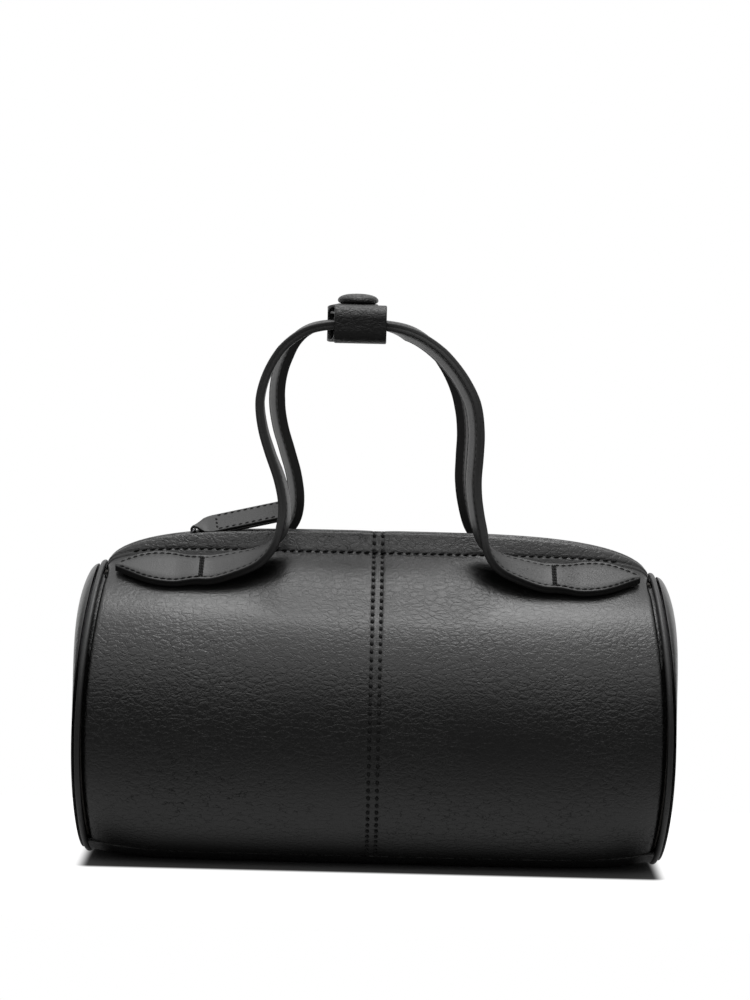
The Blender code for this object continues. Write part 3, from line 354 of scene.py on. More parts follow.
def new_material(name, roughness, metallic=0.0, specular=0.5):
    material = bpy.data.materials.new(name)
    material.use_nodes = True
    shader = material.node_tree.nodes["Principled BSDF"]
    shader.inputs["Roughness"].default_value = roughness
    shader.inputs["Metallic"].default_value = metallic
    shader.inputs["Specular IOR Level"].default_value = specular
    return material, material.node_tree, shader


def colour_mix(tree, share, dark, light):
    node = tree.nodes.new("ShaderNodeMix")
    node.data_type = "RGBA"
    tree.links.new(share, node.inputs["Factor"])
    node.inputs["A"].default_value = (*dark, 1.0)
    node.inputs["B"].default_value = (*light, 1.0)
    return node.outputs["Result"]


def add_bump(tree, shader, height, depth):
    bump = tree.nodes.new("ShaderNodeBump")
    bump.inputs["Strength"].default_value = 1.0
    bump.inputs["Distance"].default_value = depth
    tree.links.new(height, bump.inputs["Height"])
    tree.links.new(bump.outputs["Normal"], shader.inputs["Normal"])


def over_shoulder(tree):
    """1 where the body leather is pulled smooth over the shoulders, by height."""
    z = split_xyz(tree, object_place(tree))["Z"]
    rise = map_range(tree, z, *PULLED_FROM_Z, smoothly=True)
    fall = map_range(tree, z, *PULLED_TO_Z, 1.0, 0.0, smoothly=True)
    return math_node(tree, "MULTIPLY", rise, fall)


def leather(name, cell, bend, depth, dark, light, rough, specular, pulled=False):
    """Leather with cells of the given size in metres. Its colour goes from dark, a painted shade in the
    creases, to light on the crowns. Its roughness goes from rough[0] on the crowns to rough[1] lower down."""
    material, tree, shader = new_material(name, rough[0], specular=specular)
    grain = tree.nodes.new("ShaderNodeGroup")
    grain.node_tree = GRAIN
    grain.inputs["Cells"].default_value = [1.0 / size for size in cell]
    grain.inputs["Bend"].default_value = bend
    height, crease = grain.outputs["Height"], grain.outputs["Crease"]
    surface = map_range(tree, height, *CROWN_RANGE, rough[1], rough[0])
    if pulled:
        tight = over_shoulder(tree)
        grain_left = map_range(tree, tight, 0.0, 1.0, 1.0, PULLED_GRAIN)
        crease_left = map_range(tree, tight, 0.0, 1.0, 1.0, PULLED_CREASE)
        height = math_node(tree, "MULTIPLY", height, grain_left)
        crease = math_node(tree, "MULTIPLY", crease, crease_left)
    # The creases get painted shade: the base colour goes to dark where the crease mask is high.
    tree.links.new(colour_mix(tree, crease, light, dark), shader.inputs["Base Color"])
    dull = map_range(tree, crease, 0.0, 1.0, 0.0, CREASE_ROUGHNESS)
    tree.links.new(math_node(tree, "MAXIMUM", surface, dull), shader.inputs["Roughness"])
    add_bump(tree, shader, height, depth)
    return material


# For each leather, dark is the painted shade in its creases and light is its crown colour.
PEBBLED = leather(
    "pebbled_leather", cell=(0.0042, 0.0029, 0.0027), bend=0.85, depth=0.00027,
    dark=(0.0035, 0.0035, 0.0035), light=(0.0080, 0.0080, 0.0078), rough=(0.27, 0.35),
    specular=0.72, pulled=True,
)
STRAP = leather(
    "strap_leather", cell=(0.0013, 0.0011, 0.0011), bend=0.45, depth=0.00007,
    dark=(0.0060, 0.0060, 0.0060), light=(0.0100, 0.0100, 0.0098), rough=(0.40, 0.50),
    specular=0.85,
)
CREASED = leather(
    "creased_leather", cell=(0.0034, 0.0022, 0.0022), bend=0.60, depth=0.00036,
    dark=(0.0050, 0.0050, 0.0050), light=(0.0095, 0.0095, 0.0093), rough=(0.34, 0.44),
    specular=0.60,
)
print("leathers", PEBBLED.name, STRAP.name, CREASED.name)

# %% [markdown]
# The cut edges of straps and tabs are painted: a satin film, smooth but a little uneven where the brush
# ran. Sewing thread is waxed and dark, and the hidden boards, pads and cords have plain workshop finishes,
# so that the bag is also right where it is taken apart. One noise is enough for each of them.
# %% Materials: edge paint, thread, board, pad, cord, metal and teeth
FLECK_DETAIL, FLECK_ROUGHNESS = 4.0, 0.55
FLECK_RANGE = (0.3, 0.7)


def speckled(name, scale, dark, light, rough, depth, metallic=0.0, stretch=(1.0, 1.0, 1.0)):
    """A finish whose colour, gloss and height all follow one noise, with features of scale metres."""
    material, tree, shader = new_material(name, rough[0], metallic)
    place = vector_node(tree, "MULTIPLY", object_place(tree), stretch)
    fleck = noise_node(tree, place, 1.0 / scale, FLECK_DETAIL, FLECK_ROUGHNESS).outputs["Fac"]
    share = map_range(tree, fleck, *FLECK_RANGE)
    tree.links.new(colour_mix(tree, share, dark, light), shader.inputs["Base Color"])
    tree.links.new(map_range(tree, fleck, *FLECK_RANGE, *rough), shader.inputs["Roughness"])
    add_bump(tree, shader, fleck, depth)
    return material


EDGE = speckled(
    "edge_paint", scale=0.004, dark=(0.021, 0.021, 0.0206), light=(0.032, 0.032, 0.0314),
    rough=(0.38, 0.50), depth=0.00006,
)
THREAD = speckled(
    "waxed_thread", scale=0.0003, dark=(0.0006, 0.0006, 0.0006), light=(0.0020, 0.0020, 0.0020),
    rough=(0.75, 0.90), depth=0.00005,
)
BOARD = speckled(
    "fibre_board", scale=0.0012, dark=(0.16, 0.15, 0.14), light=(0.27, 0.26, 0.24),
    rough=(0.85, 0.95), depth=0.00008,
)
FOAM = speckled(
    "end_pad", scale=0.0008, dark=(0.22, 0.22, 0.23), light=(0.36, 0.36, 0.37),
    rough=(0.9, 1.0), depth=0.00015,
)
CORD = speckled(
    "piping_cord", scale=0.0006, dark=(0.24, 0.23, 0.22), light=(0.38, 0.37, 0.35),
    rough=(0.85, 0.95), depth=0.00010,
)
METAL = speckled(
    "snap_metal", scale=0.0009, dark=(0.05, 0.05, 0.053), light=(0.11, 0.11, 0.115),
    rough=(0.22, 0.42), depth=0.00001, metallic=1.0, stretch=(1.0, 4.0, 1.0),
)
TEETH = speckled(
    "zip_teeth", scale=0.0020, dark=(0.013, 0.013, 0.013), light=(0.023, 0.023, 0.023),
    rough=(0.32, 0.46), depth=0.00002,
)
print("materials", len(bpy.data.materials))

# %% [markdown]
# The lining and the zip tapes are woven. Two crossed sine waves make a plain weave: where both are high a
# thread lies on top, and where one of them is low there is a gap, which is painted darker as painted shade
# between the threads. Real fibres could be modelled, but at this size only their pattern shows.
# %% Shader group and materials: woven cloth
GAP_BELOW = 0.35
CLOTH_ROUGHNESS = 0.85


def make_weave_group():
    """A plain weave from two crossed waves: height and a mask of the gaps between threads, for painted
    shade.
    """
    group, given, out = new_group(
        "plain_weave",
        [("Threads", "NodeSocketFloat", 2500.0)],
        [("Height", "NodeSocketFloat"), ("Gap", "NodeSocketFloat")],
    )
    place = split_xyz(group, object_place(group))
    along = math_node(group, "MULTIPLY", place["X"], given.outputs["Threads"])
    around = math_node(group, "ADD", place["Z"], place["Y"])
    across = math_node(group, "MULTIPLY", around, given.outputs["Threads"])
    warp = math_node(group, "ABSOLUTE", math_node(group, "SINE", along))
    weft = math_node(group, "ABSOLUTE", math_node(group, "SINE", across))
    height = math_node(group, "MULTIPLY", warp, weft)
    group.links.new(height, out.inputs["Height"])
    group.links.new(map_range(group, height, 0.0, GAP_BELOW, 1.0, 0.0), out.inputs["Gap"])
    return group


WEAVE = make_weave_group()


def woven(name, threads, dark, light, depth):
    material, tree, shader = new_material(name, CLOTH_ROUGHNESS)
    weave = tree.nodes.new("ShaderNodeGroup")
    weave.node_tree = WEAVE
    weave.inputs["Threads"].default_value = threads
    # The gaps between threads get painted shade: the base colour goes to dark there.
    tree.links.new(colour_mix(tree, weave.outputs["Gap"], light, dark), shader.inputs["Base Color"])
    add_bump(tree, shader, weave.outputs["Height"], depth)
    return material


CLOTH = woven(
    "lining_cloth", threads=3600.0, dark=(0.010, 0.010, 0.011), light=(0.034, 0.034, 0.037), depth=0.00010
)
TAPE = woven(
    "tape_cloth", threads=5200.0, dark=(0.007, 0.007, 0.008), light=(0.020, 0.020, 0.021), depth=0.00008
)
print("cloths", CLOTH.name, TAPE.name, "of", len(bpy.data.materials), "materials")

# %% [markdown]
# The body is a barrel cut by an upper slope on each side. Two lips stand up on the slopes and hold the
# zip between them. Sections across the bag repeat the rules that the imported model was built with, so
# that each piece lies where its solid does.
# %% Sizes of the body
GAP = 0.0003
LEATHER = 0.0015
BARREL_RADIUS = 0.0685
BARREL_AXIS_Z = BARREL_RADIUS - 0.0017
END_RADIUS = 0.0660
END_AXIS_Z = END_RADIUS + 0.0029
END_X_WIDEST = 0.1330
END_WIDEST_Z = END_AXIS_Z - 0.0139
END_CURVE_RADIUS = 0.513
BASE_SEAM = math.radians(152.0)
RIDGE_END_Z = END_AXIS_Z + END_RADIUS + 0.0006
RIDGE_RISE = 0.0172
LIP_HEIGHT = 0.0090
LIP_HEIGHT_END = 0.0015
LIP_OUTER_Y = 0.0090
LIP_INNER_Y = 0.0048
PIPING_RADIUS = 0.00135
SEAM_REACH = PIPING_RADIUS + GAP
TAPE_TOP_Z = RIDGE_END_Z + 0.0064


def end_x(z):
    """Distance of the end seam from the middle: the ends curve in towards the top."""
    return END_X_WIDEST - (z - END_WIDEST_Z) ** 2 / (2.0 * END_CURVE_RADIUS)


def section_x(x, z):
    """The section that a point belongs to: all of them squeeze together where the ends curve in."""
    return x * END_X_WIDEST / (end_x(z) - SEAM_REACH)


def ridge_fall(x):
    return np.maximum(0.0, 1.0 - (np.abs(x) / END_X_WIDEST) ** 4)


def ridge_z(x):
    return RIDGE_END_Z + RIDGE_RISE * np.sqrt(ridge_fall(x))


def barrel_circle(x):
    """Radius and axis height of the round section at x."""
    full = 1.0 - np.minimum(1.0, np.abs(x) / END_X_WIDEST) ** 8
    radius = END_RADIUS + (BARREL_RADIUS - END_RADIUS) * full
    return radius, END_AXIS_Z + (BARREL_AXIS_Z - END_AXIS_Z) * full


def hem_z(x):
    """Height of the crease between slope and lip."""
    radius, axis_z = barrel_circle(x)
    lip = LIP_HEIGHT_END + (LIP_HEIGHT - LIP_HEIGHT_END) * ridge_fall(x)
    return np.maximum(axis_z + np.sqrt(radius ** 2 - LIP_OUTER_Y ** 2) + GAP, ridge_z(x) - lip)


def tangent_angle(x):
    """Angle from the top at which the round section turns into the straight slope."""
    radius, axis_z = barrel_circle(x)
    rise = hem_z(x) - axis_z
    reach = np.hypot(LIP_OUTER_Y, rise)
    return np.arctan2(LIP_OUTER_Y, rise) + np.arccos(np.minimum(1.0, radius / reach))


print("ridge", round(float(ridge_z(0.0)), 4), "hem", round(float(hem_z(0.0)), 4))

# %% [markdown]
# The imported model's slopes are straight. Here the shoulders are full in the middle of the bag and the lips
# lean back a little, as on the photographed one: their creases lie further out than their tops. A shoulder
# is a curve with a tilt of its own at each end, like one made with two handles, and so is the face of a lip.
# %% Section across the body
SHOULDER_LOW = math.radians(44.0)
SHOULDER_HIGH = math.radians(24.0)
SHOULDER_FULL_TO = 0.074
SHOULDER_FADE = 0.030
LIP_LEAN = 0.0054
LIP_TILT = math.radians(60.0)
FOLD_FROM = math.radians(35.0)
FOLD_OF_LIP = 0.8


def curve_between(start, start_tilt, end, end_tilt, share):
    """A curve in a section from start to end, with the given tilts above the horizontal at its ends."""
    reach = np.hypot(end[0] - start[0], end[1] - start[1]) / 3.0
    first = (start[0] - reach * np.cos(start_tilt), start[1] + reach * np.sin(start_tilt))
    last = (end[0] + reach * np.cos(end_tilt), end[1] - reach * np.sin(end_tilt))
    left = 1.0 - share
    weights = (left ** 3, 3.0 * share * left ** 2, 3.0 * share ** 2 * left, share ** 3)
    points = (start, first, last, end)
    return [sum(weight * point[axis] for weight, point in zip(weights, points)) for axis in (0, 1)]


def side_section(x, stage):
    """Distance from the middle plane and height: stage 0 to 1 goes up the round side, 1 to 2 up the
    shoulder, 2 to 3 up the lip, 3 to 4 over its fold and 4 to 5 down inside."""
    radius, axis_z = barrel_circle(x)
    tangent = tangent_angle(x)
    full = ease((SHOULDER_FULL_TO - np.abs(x)) / SHOULDER_FADE)
    lip = ridge_z(x) - hem_z(x)
    leave = tangent + (SHOULDER_LOW - tangent) * full
    angle = BASE_SEAM + (leave - BASE_SEAM) * np.clip(stage, 0.0, 1.0)
    y = radius * np.sin(angle)
    z = np.maximum(0.0, axis_z + radius * np.cos(angle))
    lean = LIP_LEAN * lip / LIP_HEIGHT
    crease = (LIP_OUTER_Y + lean, hem_z(x) - lean * np.tan(tangent) * (1.0 - full))
    top_tilt = tangent + (SHOULDER_HIGH - tangent) * full
    shoulder = curve_between((y, z), leave, crease, top_tilt, np.clip(stage - 1.0, 0.0, 1.0))
    half = (LIP_OUTER_Y - LIP_INNER_Y) / 2.0
    fold = np.minimum(half, FOLD_OF_LIP * lip)
    fold_z = ridge_z(x) - fold
    middle_y = (LIP_OUTER_Y + LIP_INNER_Y) / 2.0
    lip_end = (middle_y + half * math.cos(FOLD_FROM), fold_z + fold * math.sin(FOLD_FROM))
    end_tilt = math.pi / 2.0 - FOLD_FROM
    face = curve_between(crease, LIP_TILT, lip_end, end_tilt, np.clip(stage - 2.0, 0.0, 1.0))
    turn = FOLD_FROM + (math.pi - FOLD_FROM) * np.clip(stage - 3.0, 0.0, 1.0)
    over = (middle_y + half * np.cos(turn), fold_z + fold * np.sin(turn))
    inside_z = np.minimum(TAPE_TOP_Z + GAP, ridge_z(x) - half - LEATHER)
    inside = (LIP_INNER_Y + 0.0 * x, fold_z + (inside_z - fold_z) * np.clip(stage - 4.0, 0.0, 1.0))
    for start, part in ((1.0, shoulder), (2.0, face), (3.0, over), (4.0, inside)):
        y = np.where(stage > start, part[0], y)
        z = np.where(stage > start, part[1], z)
    return y, z


print("shoulder", [round(float(v), 4) for v in side_section(0.0, 1.5)])

# %% [markdown]
# Each side of the barrel is sewn from a left and a right half with a butted seam in the middle and a row
# of stitches on either side of it. The shape of the seam, of the groove under the hem stitches, of the roll
# at the ends and of the slow waves of the hide could be sculpted. Here it is written as depths below the
# plain surface, so that the stitches can be laid in the same grooves.
# %% Relief of the body
SEAM_ROW_X = 0.0020
SEAM_PITCH = 0.0041
HEM_PITCH = 0.0038
HEM_ROW_ABOVE = 0.0006
SIDE_ROWS = ((0.0, 1.0, 132), (1.0, 2.0, 50), (2.0, 3.0, 24), (3.0, 4.0, 12), (4.0, 5.0, 5))
WAVES = ((31.0, 47.0, 0.4), (-52.0, 29.0, 2.1), (74.0, 83.0, 4.0), (97.0, -61.0, 1.2), (23.0, 118.0, 5.3))
WAVE_DEPTH = 0.00035
SEAM_LINE_DEPTH, SEAM_LINE_WIDTH = 0.00005, 0.00030
SEAM_ROW_DEPTH, SEAM_ROW_WIDTH = 0.00010, 0.00055
PIT_DEPTH = 0.00042
PULL_IN_DEPTH, PULL_IN_WIDTH = 0.00012, 0.0011
VALLEY_DEPTH, VALLEY_WIDTH = 0.00025, 0.0055
ROLL_DEPTH, ROLL_WIDTH = 0.0015, 0.0030
END_DRAW_DEPTH, END_DRAW_WIDTH = 0.0006, 0.036
HEM_GROOVE_DEPTH, HEM_GROOVE_WIDTH = 0.00026, 0.0006
ROLL_STOPS = (1.4, 0.5)
DRAW_STOPS = (1.8, 0.8)
HEM_BEGINS, HEM_ENDS = (1.9, 0.1), (3.6, 0.5)
SEAM_ENDS = (4.2, 0.4)
WAVES_END = (2.0, 0.6)
WAVES_FROM_FLOOR, WAVES_FROM_END = 0.020, 0.02


def rows_of_side():
    """Stages of the rows, with as many rows on each stretch of the section as its curve needs."""
    return np.concatenate([np.linspace(a, b, n, endpoint=False) for a, b, n in SIDE_ROWS] + [[5.0]])


def row_lengths():
    """Distance along the seam from the base seam, for each row of the side."""
    y, z = side_section(np.zeros(1), rows_of_side())
    return np.concatenate([[0.0], np.cumsum(np.hypot(np.diff(y), np.diff(z)))])


def pits(distance, pitch):
    """1 at each stitch and 0 between two stitches."""
    return (0.5 - 0.5 * np.cos(math.tau * distance / pitch)) ** 2


def seam_relief(x, along):
    """The butted seam: a fine line, the pull of the thread, and a pit under each stitch of both rows."""
    from_row = np.abs(x) - SEAM_ROW_X
    line = -SEAM_LINE_DEPTH * bell(x, SEAM_LINE_WIDTH)
    rows = bell(from_row, SEAM_ROW_WIDTH) * (SEAM_ROW_DEPTH + PIT_DEPTH * pits(along, SEAM_PITCH))
    pull_in = PULL_IN_DEPTH * bell(from_row, PULL_IN_WIDTH)
    return line - rows - pull_in - VALLEY_DEPTH * bell(x, VALLEY_WIDTH)


def hide_waves(x, z):
    total = sum(np.sin(kx * x + kz * z + phase) for kx, kz, phase in WAVES)
    return -WAVE_DEPTH * (0.5 + 0.5 * total / len(WAVES))


def begins(stage, start, over):
    """0 up to the start, and 1 from there on after a stretch of the given length."""
    return ease((stage - start) / over)


def ends(stage, end, over):
    """1 up to a stretch of the given length before the end, and 0 after it."""
    return ease((end - stage) / over)


def side_relief(share, stage, x, z):
    """Everything that lies below the plain surface. Each part fades where the stage leaves its place."""
    from_end = (1.0 - np.abs(share)) * END_X_WIDEST
    near_end = np.maximum(0.0, 1.0 - from_end / ROLL_WIDTH)
    roll = -ROLL_DEPTH * near_end ** 2 * (1.0 - begins(stage, *ROLL_STOPS))
    drawn = (1.0 - ease(from_end / END_DRAW_WIDTH)) * (1.0 - begins(stage, *DRAW_STOPS))
    roll = roll - END_DRAW_DEPTH * drawn
    above_crease = z - hem_z(share * END_X_WIDEST)
    on_lip = begins(stage, *HEM_BEGINS) * ends(stage, *HEM_ENDS)
    hem = -HEM_GROOVE_DEPTH * bell(above_crease - HEM_ROW_ABOVE, HEM_GROOVE_WIDTH) * on_lip
    seam = seam_relief(x, row_lengths()[None, :]) * ends(stage, *SEAM_ENDS)
    slow = hide_waves(x, z) * ease(z / WAVES_FROM_FLOOR) * ends(stage, *WAVES_END)
    slow = slow * ease(from_end / WAVES_FROM_END)
    return roll + hem + seam + slow


print("rows", len(rows_of_side()), "length", round(float(row_lengths()[-1]), 4))

# %% [markdown]
# The leather is one skin from the base seam over the lip and down inside. Its grid has its columns close
# together at the centre seam, and close together again where the leather rolls down to the piping. The
# relief moves each point along its normal, and the wall is added inwards.
# %% Front and rear of the body
FRONT_AND_REAR = (("front", -1.0), ("rear", 1.0))
SEAM_COLUMNS_TO = 0.0042
END_COLUMNS_FROM = 0.1290


def columns_of_side():
    """Shares of the widest half, from minus 1 to 1."""
    near = np.linspace(0.0, SEAM_COLUMNS_TO, 15)
    middle = np.linspace(SEAM_COLUMNS_TO, END_COLUMNS_FROM, 56)[1:]
    edge = np.linspace(END_COLUMNS_FROM, END_X_WIDEST, 10)[1:]
    half = np.concatenate([near, middle, edge])
    return np.concatenate([-half[:0:-1], half]) / END_X_WIDEST


def surface_normals(points):
    """Unit normals of a grid of points, from the steps between neighbours."""
    along = np.gradient(points, axis=0)
    across = np.gradient(points, axis=1)
    normals = np.cross(along, across)
    return normals / np.maximum(np.linalg.norm(normals, axis=2, keepdims=True), 1e-12)


def make_side(name, front):
    shares = columns_of_side() if front < 0 else columns_of_side()[::-1]
    share, stage = np.meshgrid(shares, rows_of_side(), indexing="ij")
    y, z = side_section(share * END_X_WIDEST, stage)
    x = share * (end_x(z) - SEAM_REACH)
    points = np.stack([x, front * y, z], axis=2)
    relief = side_relief(share, stage, x, z)
    side = mapped_grid(name, points + surface_normals(points) * relief[:, :, None])
    return give_wall(side, LEATHER, HIDE_ANGLE)


for row, front in FRONT_AND_REAR:
    side = dress(make_side(f"{row}_body", front), PEBBLED)
    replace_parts(side, f"{row}_panel_left", f"{row}_panel_right")
    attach(side, "bag")
    print(side.name, len(side.data.polygons), "faces")

# %% [markdown]
# The base is one strip of the same leather, butted to both sides low on the barrel and pressed flat where
# the bag stands. It is made in the same way, with its angles running under the barrel.
# %% Base
BASE_COLUMNS = 120
BASE_ROWS = 60
BASE_SEAM_DEPTH, BASE_SEAM_WIDTH = 0.0001, 0.0008
BASE_ROLL_DEPTH, BASE_ROLL_WIDTH = 0.0008, 0.0024


def make_base():
    shares = np.linspace(-1.0, 1.0, BASE_COLUMNS + 1)
    edge = BASE_SEAM + GAP / BARREL_RADIUS
    angles = np.linspace(math.tau - edge, edge, BASE_ROWS + 1)
    share, angle = np.meshgrid(shares, angles, indexing="ij")
    radius, axis_z = barrel_circle(share * END_X_WIDEST)
    y = radius * np.sin(angle)
    z = np.maximum(0.0, axis_z + radius * np.cos(angle))
    x = share * (end_x(z) - SEAM_REACH)
    points = np.stack([x, y, z], axis=2)
    from_seam = np.minimum(np.abs(angle - edge), np.abs(math.tau - edge - angle)) * BARREL_RADIUS
    from_end = (1.0 - np.abs(share)) * END_X_WIDEST
    relief = -BASE_SEAM_DEPTH * bell(from_seam, BASE_SEAM_WIDTH)
    relief = relief - BASE_ROLL_DEPTH * (1.0 - ease(from_end / BASE_ROLL_WIDTH))
    points = points + surface_normals(points) * relief[:, :, None]
    points[:, :, 2] = np.maximum(points[:, :, 2], 0.0)
    base = mapped_grid("base_leather", points[:, ::-1])
    return give_wall(base, LEATHER, HIDE_ANGLE)


base = dress(make_base(), PEBBLED)
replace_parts(base, "base_panel")
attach(base, "bag")
print(base.name, len(base.data.polygons), "faces")

# %% [markdown]
# A round end panel is padded: its rim is rolled and its middle is slightly hollow. The padding has settled,
# so the panel is full towards the top and nearly flat lower down. It is a grid bent into a disc, whose
# first row closes in the middle, so doubles are merged there before the wall is given.
# %% End panels
LEFT_AND_RIGHT = (("left", -1.0), ("right", 1.0))
END_DOME = 0.0054
END_HOLLOW = 0.0012
FULL_LOW, FULL_GAIN = 0.06, 1.08
FULL_FROM_Z, FULL_OVER = 0.062, 0.066
END_WAVE_DEPTH = 0.00030
END_WAVES, END_SWIRL = 5.0, 9.0
PIPING_SLIT = 0.0003
PIPING_WALL = 0.00055
END_SEAT = PIPING_SLIT + PIPING_WALL + GAP


def ring_point(angle, radius, outward, side):
    """Point of an end: angle from the top, radius, and distance outward of the end seam."""
    y = radius * np.sin(angle)
    z = END_AXIS_Z + radius * np.cos(angle)
    return np.stack([side * (end_x(z) + outward), y, z], axis=-1)


def dome(radius, edge):
    """Height of the padding over the seam, from the middle of an end to its edge."""
    share = np.minimum(1.0, radius / edge)
    return END_DOME * np.sqrt(np.maximum(0.0, 1.0 - share ** 6)) - END_HOLLOW * (1.0 - share ** 2) ** 2


def fullness(radius, angle):
    """The padding has settled: the end is full towards the top and drawn nearly flat lower down."""
    z = END_AXIS_Z + radius * np.cos(angle)
    return FULL_LOW + FULL_GAIN * ease((z - FULL_FROM_Z) / FULL_OVER)


def make_end(name, side):
    edge = END_RADIUS - GAP
    angles = np.linspace(0.0, math.tau, 145)
    radii = edge * np.sin(np.linspace(0.0, math.pi / 2.0, 49))
    angle, radius = np.meshgrid(angles, radii, indexing="ij")
    share = radius / edge
    turning = 0.5 + 0.5 * np.sin(END_WAVES * angle + END_SWIRL * share)
    waves = -END_WAVE_DEPTH * turning * share ** 2 * (1.0 - share ** 4)
    outward = END_SEAT + LEATHER + dome(radius, edge) * fullness(radius, angle) + waves
    points = ring_point(angle, radius, outward, side)
    panel = mapped_grid(name, points if side > 0 else points[::-1])
    edit_all(panel, merge_doubles)
    return give_wall(panel, LEATHER, HIDE_ANGLE)


for half, side in LEFT_AND_RIGHT:
    panel = dress(make_end(f"end_leather_{half}", side), PEBBLED)
    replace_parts(panel, f"end_panel_{half}")
    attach(panel, "bag")
    middle = max(panel.data.polygons, key=lambda face: abs(face.center.x))
    print(panel.name, "outward normal", round(middle.normal.x, 2))

# %% [markdown]
# Piping is a strip of leather wrapped round a cord, with its two edges caught in the seam. Its section is
# one outline with a slit, swept round the end. The wrapped leather is never quite even, so its radius
# swells a little round the ring. The cord inside is a laid one.
# %% Piping and its cords
PIPING_FLANGE = 0.0050
PIPING_WRAP = math.radians(150.0)
PIPING_SWELL = 0.00006
PIPING_WAVES = 7.0
PIPING_DRIFT, PIPING_DRIFT_WAVES = 2.0, 3.0
CORD_RADIUS = 0.0006
CORD_STRANDS = 3
CORD_TWISTS = 60.0
CORD_GROOVE = 0.14


def make_piping(name, side):
    """The outline: round the cord outside, down one leg, up inside it and round, and down the other leg."""
    ring_angles = np.linspace(0.0, math.tau, 181)[:-1]
    turns = np.linspace(-PIPING_WRAP, PIPING_WRAP, 15)
    bore = PIPING_RADIUS - PIPING_WALL
    leg = PIPING_SLIT / 2.0 + PIPING_WALL
    inner = END_RADIUS - LEATHER - PIPING_FLANGE
    rings = []
    for angle in ring_angles:
        drift = PIPING_DRIFT * math.sin(PIPING_DRIFT_WAVES * angle)
        unevenness = 0.5 + 0.5 * math.sin(PIPING_WAVES * angle + drift)
        swell = PIPING_RADIUS - PIPING_SWELL * unevenness
        outline = [(END_RADIUS + GAP + swell * math.cos(t), swell * math.sin(t)) for t in turns]
        outline += [(inner, leg), (inner, PIPING_SLIT / 2.0)]
        outline += [(END_RADIUS + GAP + bore * math.cos(t), bore * math.sin(t)) for t in turns[::-1]]
        outline += [(inner, -PIPING_SLIT / 2.0), (inner, -leg)]
        radius, outward = np.array(outline).T
        rings.append(ring_point(angle, radius, outward, side))
    return smooth(tube(name, np.array(rings), loop=True), SMALL_ANGLE)


def make_cord(name, side):
    """Three strands laid together: the section is a clover that turns along the cord."""
    rings = []
    around = np.linspace(0.0, math.tau, 13)[:-1]
    for angle in np.linspace(0.0, math.tau, 361)[:-1]:
        lobes = np.abs(np.cos(CORD_STRANDS / 2.0 * (around + CORD_TWISTS * angle)))
        reach = CORD_RADIUS * (1.0 - CORD_GROOVE + CORD_GROOVE * lobes)
        radius = END_RADIUS + GAP + reach * np.cos(around)
        rings.append(ring_point(angle, radius, reach * np.sin(around), side))
    return smooth(tube(name, np.array(rings), loop=True), SMALL_ANGLE)


for half, side in LEFT_AND_RIGHT:
    piping = dress(make_piping(f"piping_leather_{half}", side), STRAP)
    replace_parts(piping, f"piping_{half}")
    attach(piping, "bag")
    cord = dress(make_cord(f"piping_string_{half}", side), CORD)
    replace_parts(cord, f"piping_cord_{half}")
    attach(cord, "bag")
print("piping", len(piping.data.polygons), "cord", len(cord.data.polygons))

# %% [markdown]
# Straps, keeper and pull all follow a line through a few given points. A curve with handles gives a
# smooth line, as it would in the viewport, and it is then divided into even steps, so that the rings of a
# tube and the stitches of a row come at even distances.
# %% Helpers: smooth and even lines


def smooth_line(points, steps):
    """A smooth curve through the points, with the given number of steps on each stretch."""
    points = [Vector(point) for point in points]
    line = []
    for i in range(len(points) - 1):
        before = points[max(i - 1, 0)]
        after = points[min(i + 2, len(points) - 1)]
        handle_a = points[i] + (points[i + 1] - before) / 6.0
        handle_b = points[i + 1] - (after - points[i]) / 6.0
        piece = interpolate_bezier(points[i], handle_a, handle_b, points[i + 1], steps + 1)
        line.extend(piece if i == 0 else piece[1:])
    return line


def distances_along(points):
    """Distance of each point from the first one, along the line."""
    return np.r_[0.0, np.cumsum(np.linalg.norm(np.diff(points, axis=0), axis=1))]


def values_at(wanted, lengths, values):
    """The values, which belong to the lengths, read off at the wanted lengths."""
    return np.stack([np.interp(wanted, lengths, column) for column in values.T], axis=1)


def resample(line, count):
    """The line again, with count points at even distances."""
    points = np.array([tuple(point) for point in line])
    lengths = distances_along(points)
    return values_at(np.linspace(0.0, lengths[-1], count), lengths, points)


print("even steps", resample([(0.0, 0.0), (1.0, 0.0), (1.0, 1.0)], 5).tolist())

# %% [markdown]
# Each handle is one strap of two leather layers that ends in two almond-shaped tabs sewn to the slopes.
# The strap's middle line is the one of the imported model, a point of the line being its distance from the
# middle of the bag and its rise. The strap starts flat on the slope and stands on edge higher up, and it
# turns about the vertical as it rises. Two tables give its turn in degrees at a rise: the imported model's,
# and the smaller one that the photograph shows.
# %% Middle line and turn of the handles
STRAP_WIDTH = 0.0145
STRAP_LAYER = 0.0018
STRAP_LIFT = 0.0009
STRAP_LIE_HEIGHT = 0.0220
LEAD_IN = 0.0040
LEAD_IN_RISE = 0.00015
FOOT_X = 0.0801
FOOT_DOWN_SLOPE = 0.0186
HANDLE_TOP_Y = 0.0095
HANDLE_RISE = 0.1131
HANDLE_CONVERGE = 1.35
HANDLE_SWAY = 0.140
SWAY_FROM = 0.0366
HANDLE_HALF = (
    (0.0680, 0.0021), (0.0565, 0.0061), (0.0480, 0.0129), (0.0430, 0.0216), (0.0412, 0.0316),
    (0.0415, 0.0426), (0.0434, 0.0536), (0.0452, 0.0646), (0.0454, 0.0756), (0.0432, 0.0856),
    (0.0385, 0.0956), (0.0315, 0.1046), (0.0230, 0.1104), (0.0120, 0.1128),
)
STRAP_TURN = ((0.0006, 20.0), (0.0226, 29.0), (0.0546, 37.0), (0.0776, 37.0), (0.0996, 22.0), (0.1131, 0.0))
LEFT_BULGE, LEFT_BULGE_RISE, LEFT_BULGE_WIDTH = 0.0009, 0.062, 0.026
